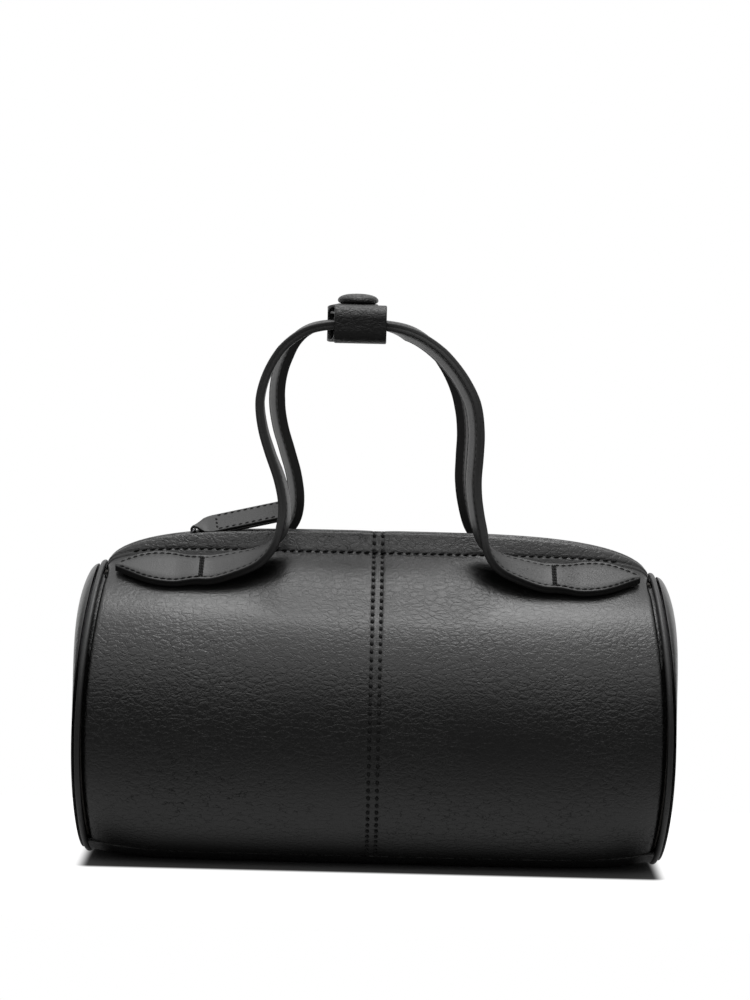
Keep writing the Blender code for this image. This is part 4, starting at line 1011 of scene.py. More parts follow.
TWIST = {
    ("front", "left"): ((0.0006, 18.0), (0.0226, 11.0), (0.0546, 3.0), (0.0776, 0.0), (0.1131, 0.0)),
    ("front", "right"): (
        (0.0006, 18.0), (0.0226, 14.0), (0.0546, 17.0), (0.0996, 17.0), (0.1110, 13.0), (0.1131, 0.0)
    ),
    ("rear", "left"): ((0.0006, 18.0), (0.0226, 17.0), (0.0776, 18.0), (0.0996, 15.0), (0.1131, 0.0)),
    ("rear", "right"): ((0.0006, 18.0), (0.0226, 15.0), (0.0776, 15.0), (0.0996, 8.0), (0.1131, 0.0)),
}
STRAP_STATIONS = 190
STRAP_HALF_THICK = STRAP_LAYER + GAP / 2.0


def slope_point(x, down, lift):
    """Point lifted off the leather: down from the hem along the slope, then round the side."""
    z = RIDGE_END_Z
    for _ in range(4):
        section = section_x(x, z)
        radius, axis_z = barrel_circle(section)
        tangent = tangent_angle(section)
        run = (radius * np.sin(tangent) - LIP_OUTER_Y) / np.cos(tangent)
        on_slope = np.minimum(down, run)
        turned = tangent + (down - on_slope) / radius
        back = run - on_slope
        y = (radius + lift) * np.sin(turned) - back * np.cos(tangent)
        z = axis_z + (radius + lift) * np.cos(turned) + back * np.sin(tangent)
    return y, z


FOOT_LIFT = STRAP_LIFT + STRAP_LAYER + GAP / 2.0
FOOT_Y, FOOT_Z = (float(v) for v in slope_point(FOOT_X, FOOT_DOWN_SLOPE, FOOT_LIFT))


def handle_sway(height):
    """The arch leans to one side as it rises."""
    return -HANDLE_SWAY * (height - SWAY_FROM) * float(ease(height / SWAY_FROM))


def strap_line(count):
    """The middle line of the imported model's front strap."""
    half = [(FOOT_X, 0.0), (FOOT_X - LEAD_IN, LEAD_IN_RISE)] + list(HANDLE_HALF)
    flat = [(-x, rise) for x, rise in half] + [(0.0, HANDLE_RISE)] + list(reversed(half))
    line = []
    for x, _, rise in resample(smooth_line([(x, 0.0, rise) for x, rise in flat], 12), count):
        share = min(1.0, max(0.0, rise / HANDLE_RISE))
        y = HANDLE_TOP_Y + (FOOT_Y - HANDLE_TOP_Y) * (1.0 - share) ** HANDLE_CONVERGE
        line.append(Vector((x + handle_sway(rise), -y, FOOT_Z + rise)))
    return line


def turn_at(table, rise):
    return math.radians(float(np.interp(rise, *zip(*table))))


def strap_frames(row):
    """For each station of a strap, as if it were the front one: middle, width direction and outward
    normal. The model turns a strap about its middle; here it is less turned, and the edge towards
    the camera stays where it is."""
    count = STRAP_STATIONS
    line = strap_line(count)
    tangent = float(tangent_angle(section_x(FOOT_X, FOOT_Z)))
    slope_width = Vector((0.0, -math.cos(tangent), -math.sin(tangent)))
    held = STRAP_WIDTH / 2.0 if row == "front" else -STRAP_WIDTH / 2.0
    frames = []
    for i, middle in enumerate(line):
        ahead = (line[min(i + 1, count - 1)] - line[max(i - 1, 0)]).normalized()
        outward = Vector((-ahead.z, 0.0, ahead.x)).normalized()
        rise = middle.z - FOOT_Z
        half = "left" if i < count / 2 else "right"
        model_turn = turn_at(STRAP_TURN, rise)
        side = -1.0 if half == "left" else 1.0
        turn = turn_at(TWIST[(row, half)], rise)
        upright = float(ease(rise / STRAP_LIE_HEIGHT))
        standing = Vector((side * math.sin(model_turn), -math.cos(model_turn), 0.0))
        model_width = slope_width.lerp(standing, upright)
        standing = Vector((0.0, -math.cos(turn), 0.0)) + outward * math.sin(turn)
        width = slope_width.lerp(standing, upright)
        model_width = (model_width - ahead * model_width.dot(ahead)).normalized()
        width = (width - ahead * width.dot(ahead)).normalized()
        shift = (model_width - width) * held
        shift.y = 0.0
        if (row, half) == ("front", "left"):
            shift.x -= LEFT_BULGE * float(bell(rise - LEFT_BULGE_RISE, LEFT_BULGE_WIDTH))
        frames.append((middle + shift, width, width.cross(ahead).normalized()))
    return frames


FRAMES = {row: strap_frames(row) for row, _ in FRONT_AND_REAR}
top = FRAMES["front"][STRAP_STATIONS // 2][0]
print("foot", round(FOOT_Y, 4), round(FOOT_Z, 4), "top", round(top.z, 4))

# %% [markdown]
# A handle could be a curve with a bevel, but its tabs are wider and follow the barrel. So it is one tube:
# an outline with rounded, painted edges, a groove between the layers and a shallow dent under each line
# of stitches is swept from tip to tip. The outline is written once, for any half width and half
# thickness, and its points are in order round the strap. Where it is narrow or thin, its lengths are held to
# a share of its half width or half thickness. The points on the edge are noted, so that the faces between
# them take the edge paint.
# %% Outline across a strap
STITCH_INSET = 0.0016
BESIDE_ROW = 0.0007
STRAP_DENT = 0.00032
DENT_WIDTH = 0.0004
STRAP_CROWN = 0.00012
CORNER = 0.00055
GROOVE_DEPTH = 0.00012
BESIDE_GROOVE = (0.00004, 0.00025)
NARROW_ROW, NARROW_CORNER, NARROW_INNER = 0.45, 0.4, 0.3
THIN_CORNER = 0.6


def strap_outline(half_width, half_thick, dent=STRAP_DENT):
    """Points (across, outward) round a two-layer strap, and the columns that are its painted edges."""
    row = half_width - min(STITCH_INSET, half_width * NARROW_ROW)
    corner = min(CORNER, half_width * NARROW_CORNER, half_thick * THIN_CORNER)
    flat = half_width - corner
    inner = max(flat * NARROW_INNER, row - BESIDE_ROW)
    face = []
    for a in (-flat, -row, -inner, -inner * 0.5, 0.0, inner * 0.5, inner, row, flat):
        lift = STRAP_CROWN * (1.0 - (a / half_width) ** 2) - dent * float(bell(abs(a) - row, DENT_WIDTH))
        face.append((a, half_thick + lift))
    rim = []
    for turn in np.linspace(math.pi / 2.0, 0.0, 4)[1:]:
        rim.append((flat + corner * math.cos(turn), half_thick - corner + corner * math.sin(turn)))
    rim.append((half_width - BESIDE_GROOVE[0], BESIDE_GROOVE[1]))
    rim.append((half_width - GROOVE_DEPTH, 0.0))
    right = rim + [(a, -b) for a, b in reversed(rim[:-1])]
    under = [(a, -b) for a, b in reversed(face)]
    left = [(-a, -b) for a, b in right]
    outline = face + right + under + left
    edges = list(range(len(face) - 1, len(face) + len(right)))
    start = len(face) + len(right) + len(under)
    edges += list(range(start - 1, start + len(left)))
    return np.array(outline), edges


print("outline", len(strap_outline(STRAP_WIDTH / 2.0, STRAP_HALF_THICK)[0]), "points")

# %% [markdown]
# A tab is the same outline laid on the slope, wide in its middle and pointed at its tip. Its first rings
# pass over into the strap's, so that the strap grows out of it without a step. Tabs are sewn down, and
# straps bend when a handle leans.
# %% Handle tubes
TAB_THICKNESS = 0.0034
TAB_DENT = 0.00040
TAB_LENGTH = 0.0398
TAB_OUTLINE = (
    (0.0, 0.0087), (0.0035, 0.0093), (0.0080, 0.0101), (0.0125, 0.0107), (0.0175, 0.0109),
    (0.0230, 0.0102), (0.0285, 0.0083), (0.0335, 0.0056), (0.0370, 0.0034), (TAB_LENGTH, 0.0012),
)
TAB_TIP_RISE, TAB_RISE_POWER = 0.0062, 1.4
TAB_JOIN = 0.0130
TAB_RINGS = 56
FOOT_HALF_WIDTH = 0.0087
FOOT_SPREAD = 0.028


def tab_middle(along):
    """How far down the slope the tab's middle line lies, which is less towards the tip."""
    return FOOT_DOWN_SLOPE - TAB_TIP_RISE * (np.maximum(0.0, along) / TAB_LENGTH) ** TAB_RISE_POWER


def tab_ring(side, along, half_width):
    """Outline of the tab at a distance from its neck, laid on the slope."""
    outline, _ = strap_outline(half_width, TAB_THICKNESS / 2.0, TAB_DENT)
    x = FOOT_X + GAP + along
    lift = GAP + TAB_THICKNESS / 2.0 + outline[:, 1]
    y, z = slope_point(x, tab_middle(along) + outline[:, 0], lift)
    return np.stack([np.full(len(y), side * x), -y, z], axis=1)


def strap_ring(frame_at, shift=0.0):
    """Outline of the strap at one of its stations. Near its feet it spreads to the width of the tabs."""
    middle, width, normal = (np.array(v) for v in frame_at)
    spread = 0.0
    if middle[2] < FOOT_Z + FOOT_SPREAD:
        spread = 1.0 - float(ease((FOOT_X - abs(middle[0])) / FOOT_SPREAD))
    half_width = STRAP_WIDTH / 2.0 + (FOOT_HALF_WIDTH - STRAP_WIDTH / 2.0) * spread
    outline, _ = strap_outline(half_width, STRAP_HALF_THICK)
    moved = middle + np.array((shift, 0.0, 0.0))
    return moved + outline[:, :1] * width + outline[:, 1:] * normal


def tab_rings(side, foot_frame):
    """From the neck to the tip."""
    rings = []
    line = smooth_line([(along, half_width, 0.0) for along, half_width in TAB_OUTLINE], 6)
    for along, half_width, _ in resample(line, TAB_RINGS):
        ring = tab_ring(side, along, half_width)
        if along < TAB_JOIN:
            onto_tab = float(ease(along / TAB_JOIN))
            ring = ring * onto_tab + strap_ring(foot_frame, side * (GAP + along)) * (1.0 - onto_tab)
        rings.append(ring)
    return rings


def handle_rings(frames):
    """Outlines from tip to tip, as if it were the front handle."""
    return np.array(
        tab_rings(-1.0, frames[0])[::-1] + [strap_ring(f) for f in frames] + tab_rings(1.0, frames[-1])
    )


def make_handle(name, rings, front):
    points = rings.copy()
    points[:, :, 1] *= -front
    _, edges = strap_outline(STRAP_WIDTH / 2.0, STRAP_HALF_THICK)
    return smooth(tube(name, points, edge_columns=edges), STRAP_ANGLE)


RINGS = {row: handle_rings(frames) for row, frames in FRAMES.items()}
for row, front in FRONT_AND_REAR:
    handle = dress(make_handle(f"{row}_strap", RINGS[row], front), STRAP, EDGE)
    tabs = [f"handle_tab_{row}_{half}" for half in ("left", "right")]
    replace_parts(handle, f"{row}_handle_outer", f"{row}_handle_inner", *tabs)
    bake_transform(handle)
    print(handle.name, len(handle.data.polygons), "faces")

# %% [markdown]
# The keeper is a strip that goes round both straps and closes on itself with a snap. It is swept like the
# straps, but its path lies in a plane across the bag: tongue, front, underside and up the rear. The flap
# continues it over the top, and when the snap opens it bends back at the rear. The keeper was pulled askew
# by hand: its rear part has slipped to the left and sits lower, and its front corner is swollen.
# %% Keeper and flap
KEEPER_WIDTH = 0.0240
KEEPER_LEATHER = 0.0013
KEEPER_CORNER = 0.0049
KEEPER_HALF = HANDLE_TOP_Y + 0.0084
KEEPER_X = handle_sway(HANDLE_RISE)
SNAP_X = KEEPER_X - 0.0014
KEEPER_LOW = FOOT_Z + HANDLE_RISE - 0.0072
KEEPER_TOP = FOOT_Z + HANDLE_RISE + 0.0061
TONGUE_Z = KEEPER_TOP - 0.0017
FLAP_Z = KEEPER_TOP + 0.0020
FLAP_END_Y = -0.0095
KEEPER_PINCH = 0.0021
KEEPER_SWELL = 0.0017
KEEPER_SKEW = 0.0036
SKEW_FROM_Y, SKEW_OVER = -0.002, 0.014
REAR_FALL = 0.0017
FLAP_NARROW_FROM = 0.010
FLAP_TIP = 0.0014
FLAP_TOP_FROM_Y, FLAP_TOP_DEPTH = 0.012, 0.002
TONGUE_FLAT = (0.0060, 0.0, -0.0040)
TONGUE_BEND_Y = -0.0075
PINCH_REACH = 0.0050
BAND_STOP, FLAP_START = 0.0010, 0.0008


def keeper_middle(y):
    """The rear part of the keeper has slipped a little to the left on the straps."""
    return KEEPER_X - KEEPER_SKEW * ease((y - SKEW_FROM_Y) / SKEW_OVER)


def over_top(y):
    """0 at the rear of the flap, and 1 from its middle to its end."""
    return ease((FLAP_NARROW_FROM - y) / FLAP_NARROW_FROM)


def flap_half_width(y, on_top):
    """The flap narrows to a round end under the cap."""
    end = np.sqrt(np.maximum(1e-6, FLAP_END_Y ** 2 - np.minimum(0.0, y) ** 2))
    narrow = KEEPER_WIDTH / 2.0 + (end - KEEPER_WIDTH / 2.0) * over_top(y)
    return np.where(on_top, np.maximum(narrow, FLAP_TIP), KEEPER_WIDTH / 2.0)


def corner_arc(centre_y, centre_z, start_deg, end_deg):
    arc = []
    for angle in np.radians(np.linspace(start_deg, end_deg, 9)):
        arc.append((centre_y + KEEPER_CORNER * math.cos(angle), centre_z + KEEPER_CORNER * math.sin(angle)))
    return arc


def band_line():
    """From the tongue under the flap, round the front and underneath, to the start of the flap."""
    inset = KEEPER_HALF - KEEPER_CORNER
    line = [(y, TONGUE_Z) for y in TONGUE_FLAT] + [(TONGUE_BEND_Y, KEEPER_TOP)]
    line += corner_arc(-inset, KEEPER_TOP + KEEPER_SWELL - KEEPER_CORNER, 90.0, 180.0)
    line += corner_arc(-inset, KEEPER_LOW + KEEPER_CORNER, 180.0, 270.0)
    line += [(-PINCH_REACH, KEEPER_LOW), (0.0, KEEPER_LOW + KEEPER_PINCH), (PINCH_REACH, KEEPER_LOW)]
    line.append((inset - BAND_STOP, KEEPER_LOW))
    return line


def over_line():
    """From the keeper's underside up the rear and over to the flap's end."""
    inset = KEEPER_HALF - KEEPER_CORNER
    line = [(inset - FLAP_START, KEEPER_LOW)]
    line += corner_arc(inset, KEEPER_LOW + KEEPER_CORNER, 270.0, 360.0)
    line += corner_arc(inset, FLAP_Z - REAR_FALL - KEEPER_CORNER, 0.0, 90.0)
    line += [(0.0, FLAP_Z), (FLAP_END_Y, FLAP_Z)]
    return line


def make_band(name, line, count, flap=False):
    """A strip with rounded edges on the outer side of a line across the bag."""
    even = resample(smooth_line([(0.0, y, z) for y, z in line], 6), count)
    ahead = np.gradient(even, axis=0)
    ahead /= np.linalg.norm(ahead, axis=1)[:, None]
    outward = np.stack([np.zeros(count), ahead[:, 2], -ahead[:, 1]], axis=1)
    half = KEEPER_LEATHER / 2.0
    y, z = even[:, 1], even[:, 2]
    on_top = flap & (z > FLAP_Z - FLAP_TOP_DEPTH) & (y < FLAP_TOP_FROM_Y)
    flat = flap_half_width(y, on_top) - half
    middle = even + outward * half
    middle[:, 0] = keeper_middle(y) + np.where(on_top, (SNAP_X - KEEPER_X) * over_top(y), 0.0)
    turns = np.linspace(-math.pi / 2.0, math.pi / 2.0, 7)
    shares = np.linspace(1.0, -1.0, 25)[1:-1]
    rim = [(1.0, half * math.cos(t), half * math.sin(t)) for t in turns]
    outline = rim + [(a, 0.0, half) for a in shares] + [(-a, -b, c) for a, b, c in reversed(rim)]
    outline += [(-a, 0.0, -half) for a in shares]
    share, beside, deep = np.array(outline).T
    across = share[None, :] * flat[:, None] + beside[None, :]
    rings = middle[:, None] + deep[None, :, None] * outward[:, None]
    rings[:, :, 0] += across
    second_rim = len(rim) + len(shares)
    edges = [*range(len(rim) - 1), *range(second_rim, second_rim + len(rim) - 1)]
    return smooth(tube(name, rings, edge_columns=edges), SMALL_ANGLE)


band = dress(make_band("keeper_strip", band_line(), 120), CREASED, EDGE)
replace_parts(band, "keeper_band")
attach(band, "keeper")
flap = dress(make_band("keeper_over", over_line(), 100, flap=True), CREASED, EDGE)
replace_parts(flap, "keeper_flap")
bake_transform(flap)
print("keeper", round(KEEPER_LOW, 4), round(KEEPER_TOP, 4))

# %% [markdown]
# The snap's cap is a metal disc covered with leather: a low mushroom with a rolled rim. It is made as by
# hand from a circle: extrude it, move it up, scale it, and repeat for each ring. A ring is a share of the
# radius and a height.
# %% Snap cap
CAP_RADIUS = 0.0094
CAP_LIFT = 0.0001
CAP_FOOT = 0.84
CAP_RINGS = (
    (0.93, 0.00035), (0.985, 0.0009), (1.0, 0.0015), (0.985, 0.0021), (0.93, 0.0028),
    (0.84, 0.0034), (0.70, 0.0039), (0.52, 0.0043), (0.32, 0.00452), (0.12, 0.0046),
)


def make_cap():
    base_z = FLAP_Z + KEEPER_LEATHER + CAP_LIFT
    bpy.ops.object.select_all(action="DESELECT")
    bpy.ops.mesh.primitive_circle_add(
        vertices=56, radius=CAP_RADIUS * CAP_FOOT, fill_type="NGON", location=(SNAP_X, 0.0, base_z)
    )
    cap = bpy.context.object
    cap.name = "snap_cap_leather"
    bpy.ops.object.transform_apply(location=True, rotation=True, scale=True)
    bpy.ops.object.mode_set(mode="EDIT")
    bpy.ops.mesh.select_all(action="SELECT")
    share, height = CAP_FOOT, 0.0
    for next_share, next_height in CAP_RINGS:
        bpy.ops.mesh.extrude_region_move(TRANSFORM_OT_translate={"value": (0.0, 0.0, next_height - height)})
        scale = next_share / share
        centre = (SNAP_X, 0.0, base_z + next_height)
        bpy.ops.transform.resize(value=(scale, scale, 1.0), center_override=centre)
        share, height = next_share, next_height
    bpy.ops.mesh.select_all(action="SELECT")
    face_outwards()
    bpy.ops.object.mode_set(mode="OBJECT")
    return smooth(cap, SMALL_ANGLE)


cap = dress(make_cap(), CREASED)
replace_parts(cap, "snap_cap")
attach(cap, "keeper_flap")
print("cap", [round(v, 4) for v in cap.dimensions])

# %% [markdown]
# The zip pull is one strip folded round the link and sewn to itself. Its path goes from the tip of the
# upper layer to the link, round the wire and back below. The strip lies on the ridge and rolls towards
# the rear as it leaves the link, so its frame turns with the distance. Its width grows from the neck at the
# link and shrinks again at the rounded tip.
# %% Zip pull
LINK_WIRE = 0.0007
LINK_LENGTH = 0.0080
LINK_PITCH = math.radians(48.0)
PULL_LENGTH = 0.0452
PULL_WIDTH = 0.0135
PULL_NECK_WIDTH = 0.0044
PULL_NECK_LENGTH = 0.0040
PULL_LAYER = 0.0012
PULL_INSET = 0.0013
PULL_DENT = 0.00014
PULL_EDGE = 0.62
PULL_BESIDE_MIDDLE, PULL_BESIDE_EDGE = 0.6, 0.97
PULL_NARROW_ROW = 0.5
PULL_FLAT_FROM = 0.0065
NECK_PATH = ((0.0045, 0.0001), (0.0030, 0.0003))
NEAR_WIRE, NEAR_WIRE_DRAW = 0.0015, 0.0001
PULL_EDGE_COLUMNS = (0, 7, 8, 9, 16, 17)
PULL_PITCH = math.radians(13.2)
PULL_ROLL = math.radians(30.0)
PULL_SHIFT_Y = 0.0019
LINK_PIVOT = Vector((-0.0905, 0.0, 0.14575))
WIDTH_AT = (
    (-0.003, 0.0), (-0.0004, 0.0), (0.0008, 0.12), (0.0022, 0.38), (0.0042, 0.70), (0.0065, 0.92),
    (0.0085, 1.0), (PULL_LENGTH - 0.0050, 1.0), (PULL_LENGTH - 0.0022, 0.86),
    (PULL_LENGTH - 0.0006, 0.62), (PULL_LENGTH, 0.48),
)
PULL_START = LINK_PIVOT + LINK_LENGTH * Vector((math.cos(LINK_PITCH), 0.0, math.sin(LINK_PITCH)))
PULL_ALONG = Vector((math.cos(PULL_PITCH), 0.0, math.sin(PULL_PITCH)))
PULL_NORMAL = Vector((-math.sin(PULL_PITCH), 0.0, math.cos(PULL_PITCH)))


def pull_width(distance):
    distances, shares = zip(*WIDTH_AT)
    return PULL_NECK_WIDTH + (PULL_WIDTH - PULL_NECK_WIDTH) * float(np.interp(distance, distances, shares))


def pull_frame(distance):
    """Middle of the pull, its width direction and its face direction."""
    out_of_link = min(1.0, max(0.0, distance / PULL_NECK_LENGTH))
    turn = PULL_ROLL * out_of_link
    across = Vector((0.0, 1.0, 0.0))
    width = across * math.cos(turn) + PULL_NORMAL * math.sin(turn)
    face = PULL_NORMAL * math.cos(turn) - across * math.sin(turn)
    middle = PULL_START + PULL_ALONG * distance + across * PULL_SHIFT_Y * out_of_link
    return middle, width, face


def pull_path():
    """Distance from the wire and offset off the middle: upper layer, round the wire, lower layer."""
    level = GAP / 2.0 + PULL_LAYER / 2.0
    round_wire = LINK_WIRE + GAP / 2.0 + PULL_LAYER / 2.0
    upper = [(d, level) for d in np.linspace(PULL_LENGTH, PULL_FLAT_FROM, 40)]
    upper += [(d, level + lift) for d, lift in NECK_PATH]
    upper.append((NEAR_WIRE, round_wire - NEAR_WIRE_DRAW))
    turns = np.linspace(-math.pi / 2.0, math.pi / 2.0, 13)
    wire = [(-round_wire * math.cos(t), -round_wire * math.sin(t)) for t in turns]
    return upper + wire + [(d, -o) for d, o in reversed(upper)]


def make_pull():
    path = np.array(pull_path())
    steps = np.gradient(path, axis=0)
    steps /= np.linalg.norm(steps, axis=1)[:, None]
    rings = []
    half = PULL_LAYER / 2.0
    for (distance, offset), (step_d, step_o) in zip(path, steps):
        middle, width, face = pull_frame(distance)
        out = PULL_ALONG * step_o - face * step_d
        half_width = pull_width(distance) / 2.0
        row = 1.0 - min(PULL_INSET, half_width * PULL_NARROW_ROW) / half_width
        right = (PULL_BESIDE_MIDDLE, row, PULL_BESIDE_EDGE, 1.0)
        ring = []
        for a in (*(-share for share in reversed(right)), 0.0, *right):
            edge = half * (PULL_EDGE if abs(a) == 1.0 else 1.0)
            dent = PULL_DENT if abs(a) == row else 0.0
            ring.append((a * half_width, edge, dent))
        points = [middle + face * offset + width * a - out * (h - d) for a, h, d in ring]
        points += [middle + face * offset + width * a + out * h for a, h, _ in reversed(ring)]
        rings.append([tuple(p) for p in points])
    return smooth(tube("zip_pull_strip", np.array(rings), edge_columns=PULL_EDGE_COLUMNS), STRAP_ANGLE)


pull = dress(make_pull(), STRAP, EDGE)
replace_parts(pull, "zip_pull_upper", "zip_pull_lower")
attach(pull, "zip_pull")
print("pull", len(pull.data.polygons), "faces")

# %% [markdown]
# The zip sits between the lips. Its tapes are woven and turn up inside the fold of each lip, and a small
# leather cover hides each end. The teeth, slider, link and stops keep their solids, which have the real
# shape already, and take the finishes made above.
# %% Zip tapes and end covers
TAPE_HALF_LENGTH = 0.1090
TAPE_EDGE_Y = 0.0028
TAPE_THICKNESS = 0.0006
TAPE_TURN_UP = 0.0020
TAPE_FOLD = ((-0.0010, 0.0), (-0.0002, 0.0004), (0.0, 0.0012))
TEETH_HALF_LENGTH = 0.0970
STOP_LENGTH = 0.0022
COVER_START = TEETH_HALF_LENGTH + GAP + STOP_LENGTH + GAP
COVER_END = float(end_x(RIDGE_END_Z)) - SEAM_REACH - 0.0010
COVER_HALF_WIDTH = 0.0044
COVER_THICKNESS = 0.0012
COVER_EDGE_FALL = 0.00035
COVER_BEVEL = 0.0003


def make_tape(name, front):
    low_z = TAPE_TOP_Z - TAPE_THICKNESS / 2.0
    middle_y = (LIP_OUTER_Y + LIP_INNER_Y) / 2.0
    line = [(TAPE_EDGE_Y, low_z)] + [(middle_y + y, low_z + z) for y, z in TAPE_FOLD]
    line.append((middle_y, TAPE_TOP_Z + TAPE_TURN_UP))
    xs = np.linspace(-TAPE_HALF_LENGTH, TAPE_HALF_LENGTH, 110)
    points = np.array([[(x, front * y, z) for y, z in line] for x in xs])
    return give_wall(mapped_grid(name, points), TAPE_THICKNESS, SMALL_ANGLE, offset=0.0)


def make_cover(name, side):
    rows = []
    for share in np.linspace(0.0, 1.0, 15):
        x = COVER_START + (COVER_END - COVER_START) * share
        top_z = float(ridge_z(section_x(x, RIDGE_END_Z))) - LIP_HEIGHT_END
        z = min(TAPE_TOP_Z + GAP, top_z - COVER_THICKNESS) + COVER_THICKNESS
        arc = []
        for a in np.linspace(-1.0, 1.0, 13):
            arc.append((side * x, side * a * COVER_HALF_WIDTH, z - COVER_EDGE_FALL * abs(a) ** 6))
        rows.append(arc)
    cover = mapped_grid(name, np.array(rows))
    finish_modifier(cover, "SOLIDIFY", thickness=COVER_THICKNESS, offset=-1.0)
    finish_modifier(cover, "BEVEL", width=COVER_BEVEL, segments=2, limit_method="ANGLE")
    return smooth(cover, SMALL_ANGLE)


for row, front in FRONT_AND_REAR:
    tape = dress(make_tape(f"zip_cloth_{row}", front), TAPE)
    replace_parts(tape, f"zip_tape_{row}")
    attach(tape, "bag")
for half, side in LEFT_AND_RIGHT:
    cover = dress(make_cover(f"zip_end_{half}", side), STRAP)
    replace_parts(cover, f"zip_cover_{half}")
    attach(cover, "bag")
print("cover", round(COVER_START, 4), round(COVER_END, 4))

# %% [markdown]
# Inside, a cloth lining hangs from the zip and follows the barrel at a distance. It is a little too big, as
# linings are, so it has soft folds that fall inwards. A simulation could hang it, but it is sewn in all
# round, so the folds are written into the same section as the leather. A tape backs each centre seam.
# %% Lining and seam tapes
BOARD_THICKNESS = 0.0018
END_BOARD = 0.0015
END_BOARD_MARGIN = 0.0014
LINING = 0.0008
LINING_SLACK = 0.0008
LINING_DEPTH = LEATHER + GAP + BOARD_THICKNESS + LINING_SLACK
LINING_REACH = END_SEAT + END_BOARD + GAP
LINING_FOLD = 0.0011
FOLD_WAVES = 120.0
FOLD_DRIFT, FOLD_DRIFT_WAVES = 3.0, 40.0
FOLD_FADE = 0.1
LINING_COLUMNS, LINING_ROWS = 100, 120
LINING_BASE = 0.30
LINING_TOP_STAGE = 1.86
SEAM_TAPE_HALF_WIDTH = 0.0060


def lining_section(x, turn):
    """Turn runs from 0 at the front of the zip, round the base, to 1 at the rear of the zip."""
    front = np.where(turn < 0.5, -1.0, 1.0)
    up = np.abs(2.0 * turn - 1.0)
    stage = np.clip((up - LINING_BASE) / (1.0 - LINING_BASE), 0.0, 1.0) * LINING_TOP_STAGE
    y, z = side_section(x, stage)
    radius, axis_z = barrel_circle(x)
    angle = BASE_SEAM + (math.pi - BASE_SEAM) * (1.0 - np.clip(up / LINING_BASE, 0.0, 1.0))
    y = np.where(up < LINING_BASE, radius * np.sin(angle), y)
    z = np.where(up < LINING_BASE, np.maximum(0.0, axis_z + radius * np.cos(angle)), z)
    return front * y, z


def make_lining():
    shares = np.linspace(-1.0, 1.0, LINING_COLUMNS + 1)
    share, turn = np.meshgrid(shares, np.linspace(0.0, 1.0, LINING_ROWS + 1), indexing="ij")
    y, z = lining_section(share * END_X_WIDEST, turn)
    points = np.stack([share * (end_x(z) - LINING_REACH), y, z], axis=2)
    drift = FOLD_DRIFT * np.sin(FOLD_DRIFT_WAVES * z)
    folds = LINING_FOLD * (0.5 + 0.5 * np.sin(FOLD_WAVES * points[:, :, 0] + drift)) ** 2
    folds = folds * ease((1.0 - np.abs(share)) / FOLD_FADE)
    folds = folds * ease((0.5 - np.abs(turn - 0.5)) / FOLD_FADE)
    normals = surface_normals(points)
    at_base = normals[LINING_COLUMNS // 2, LINING_ROWS // 2]
    inward = normals if at_base[2] > 0.0 else -normals
    points = points + inward * (LINING_DEPTH + folds)[:, :, None]
    lining = mapped_grid("lining_body", points)
    return give_wall(lining, LINING, HIDE_ANGLE, offset=1.0 if inward is normals else -1.0)


def make_disc(name, side, outer, inner, edge, thickness_rows=3):
    """A closed round plate between two distances outward of the end seam."""
    rings = []
    for angle in np.linspace(0.0, math.tau, 97):
        shares = np.linspace(0.08, 1.0, 16)
        profile = [(0.0, outer(0.0, angle))] + [(edge * s, outer(edge * s, angle)) for s in shares]
        rim = np.linspace(outer(edge, angle), inner, thickness_rows + 1)[1:-1]
        profile += [(edge, v) for v in rim] + [(edge * s, inner) for s in shares[::-1]] + [(0.0, inner)]
        radius, outward = np.array(profile).T
        rings.append(ring_point(angle, radius, outward, side))
    disc = mapped_grid(name, np.array(rings))
    edit_all(disc, merge_doubles, face_outwards)
    return smooth(disc, SMALL_ANGLE)


def make_seam_tape(name, front):
    xs = np.linspace(-SEAM_TAPE_HALF_WIDTH, SEAM_TAPE_HALF_WIDTH, 9)
    share, stage = np.meshgrid(xs / END_X_WIDEST, np.linspace(0.02, 1.8, 70), indexing="ij")
    y, z = side_section(share * END_X_WIDEST, stage)
    points = np.stack([share * (end_x(z) - SEAM_REACH), front * y, z], axis=2)
    if front > 0:
        points = points[::-1]
    points = points - surface_normals(points) * (LEATHER + GAP)
    return give_wall(mapped_grid(name, points), TAPE_THICKNESS, SMALL_ANGLE)


lining = dress(make_lining(), CLOTH)
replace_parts(lining, "lining_barrel")
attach(lining, "bag")
PAD_EDGE = END_RADIUS - GAP - LEATHER - PIPING_FLANGE
PANEL_EDGE = END_RADIUS - GAP
LINING_EDGE = END_RADIUS - LINING_DEPTH - LINING - END_BOARD_MARGIN
LINING_TOP = -END_SEAT - END_BOARD - GAP
PAD_SINK = 0.0004


def pad_top(radius, angle):
    """The pad follows the inside of the leather end."""
    share = min(1.0, radius / (PANEL_EDGE - LEATHER))
    height = float(dome(share * PANEL_EDGE, PANEL_EDGE) * fullness(radius, angle))
    return END_SEAT + height - GAP - PAD_SINK


for half, side in LEFT_AND_RIGHT:
    pad = make_disc(f"end_foam_{half}", side, pad_top, -PIPING_SLIT, PAD_EDGE, 5)
    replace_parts(dress(pad, FOAM), f"end_pad_{half}")
    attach(pad, "bag")
    cloth = make_disc(
        f"lining_disc_{half}", side, lambda radius, angle: LINING_TOP, LINING_TOP - LINING, LINING_EDGE
    )
    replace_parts(dress(cloth, CLOTH), f"lining_end_{half}")
    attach(cloth, "bag")
for row, front in FRONT_AND_REAR:
    tape = dress(make_seam_tape(f"seam_cloth_{row}", front), TAPE)
    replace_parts(tape, f"seam_tape_{row}")
    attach(tape, "bag")
print("lining", len(lining.data.polygons), "faces")

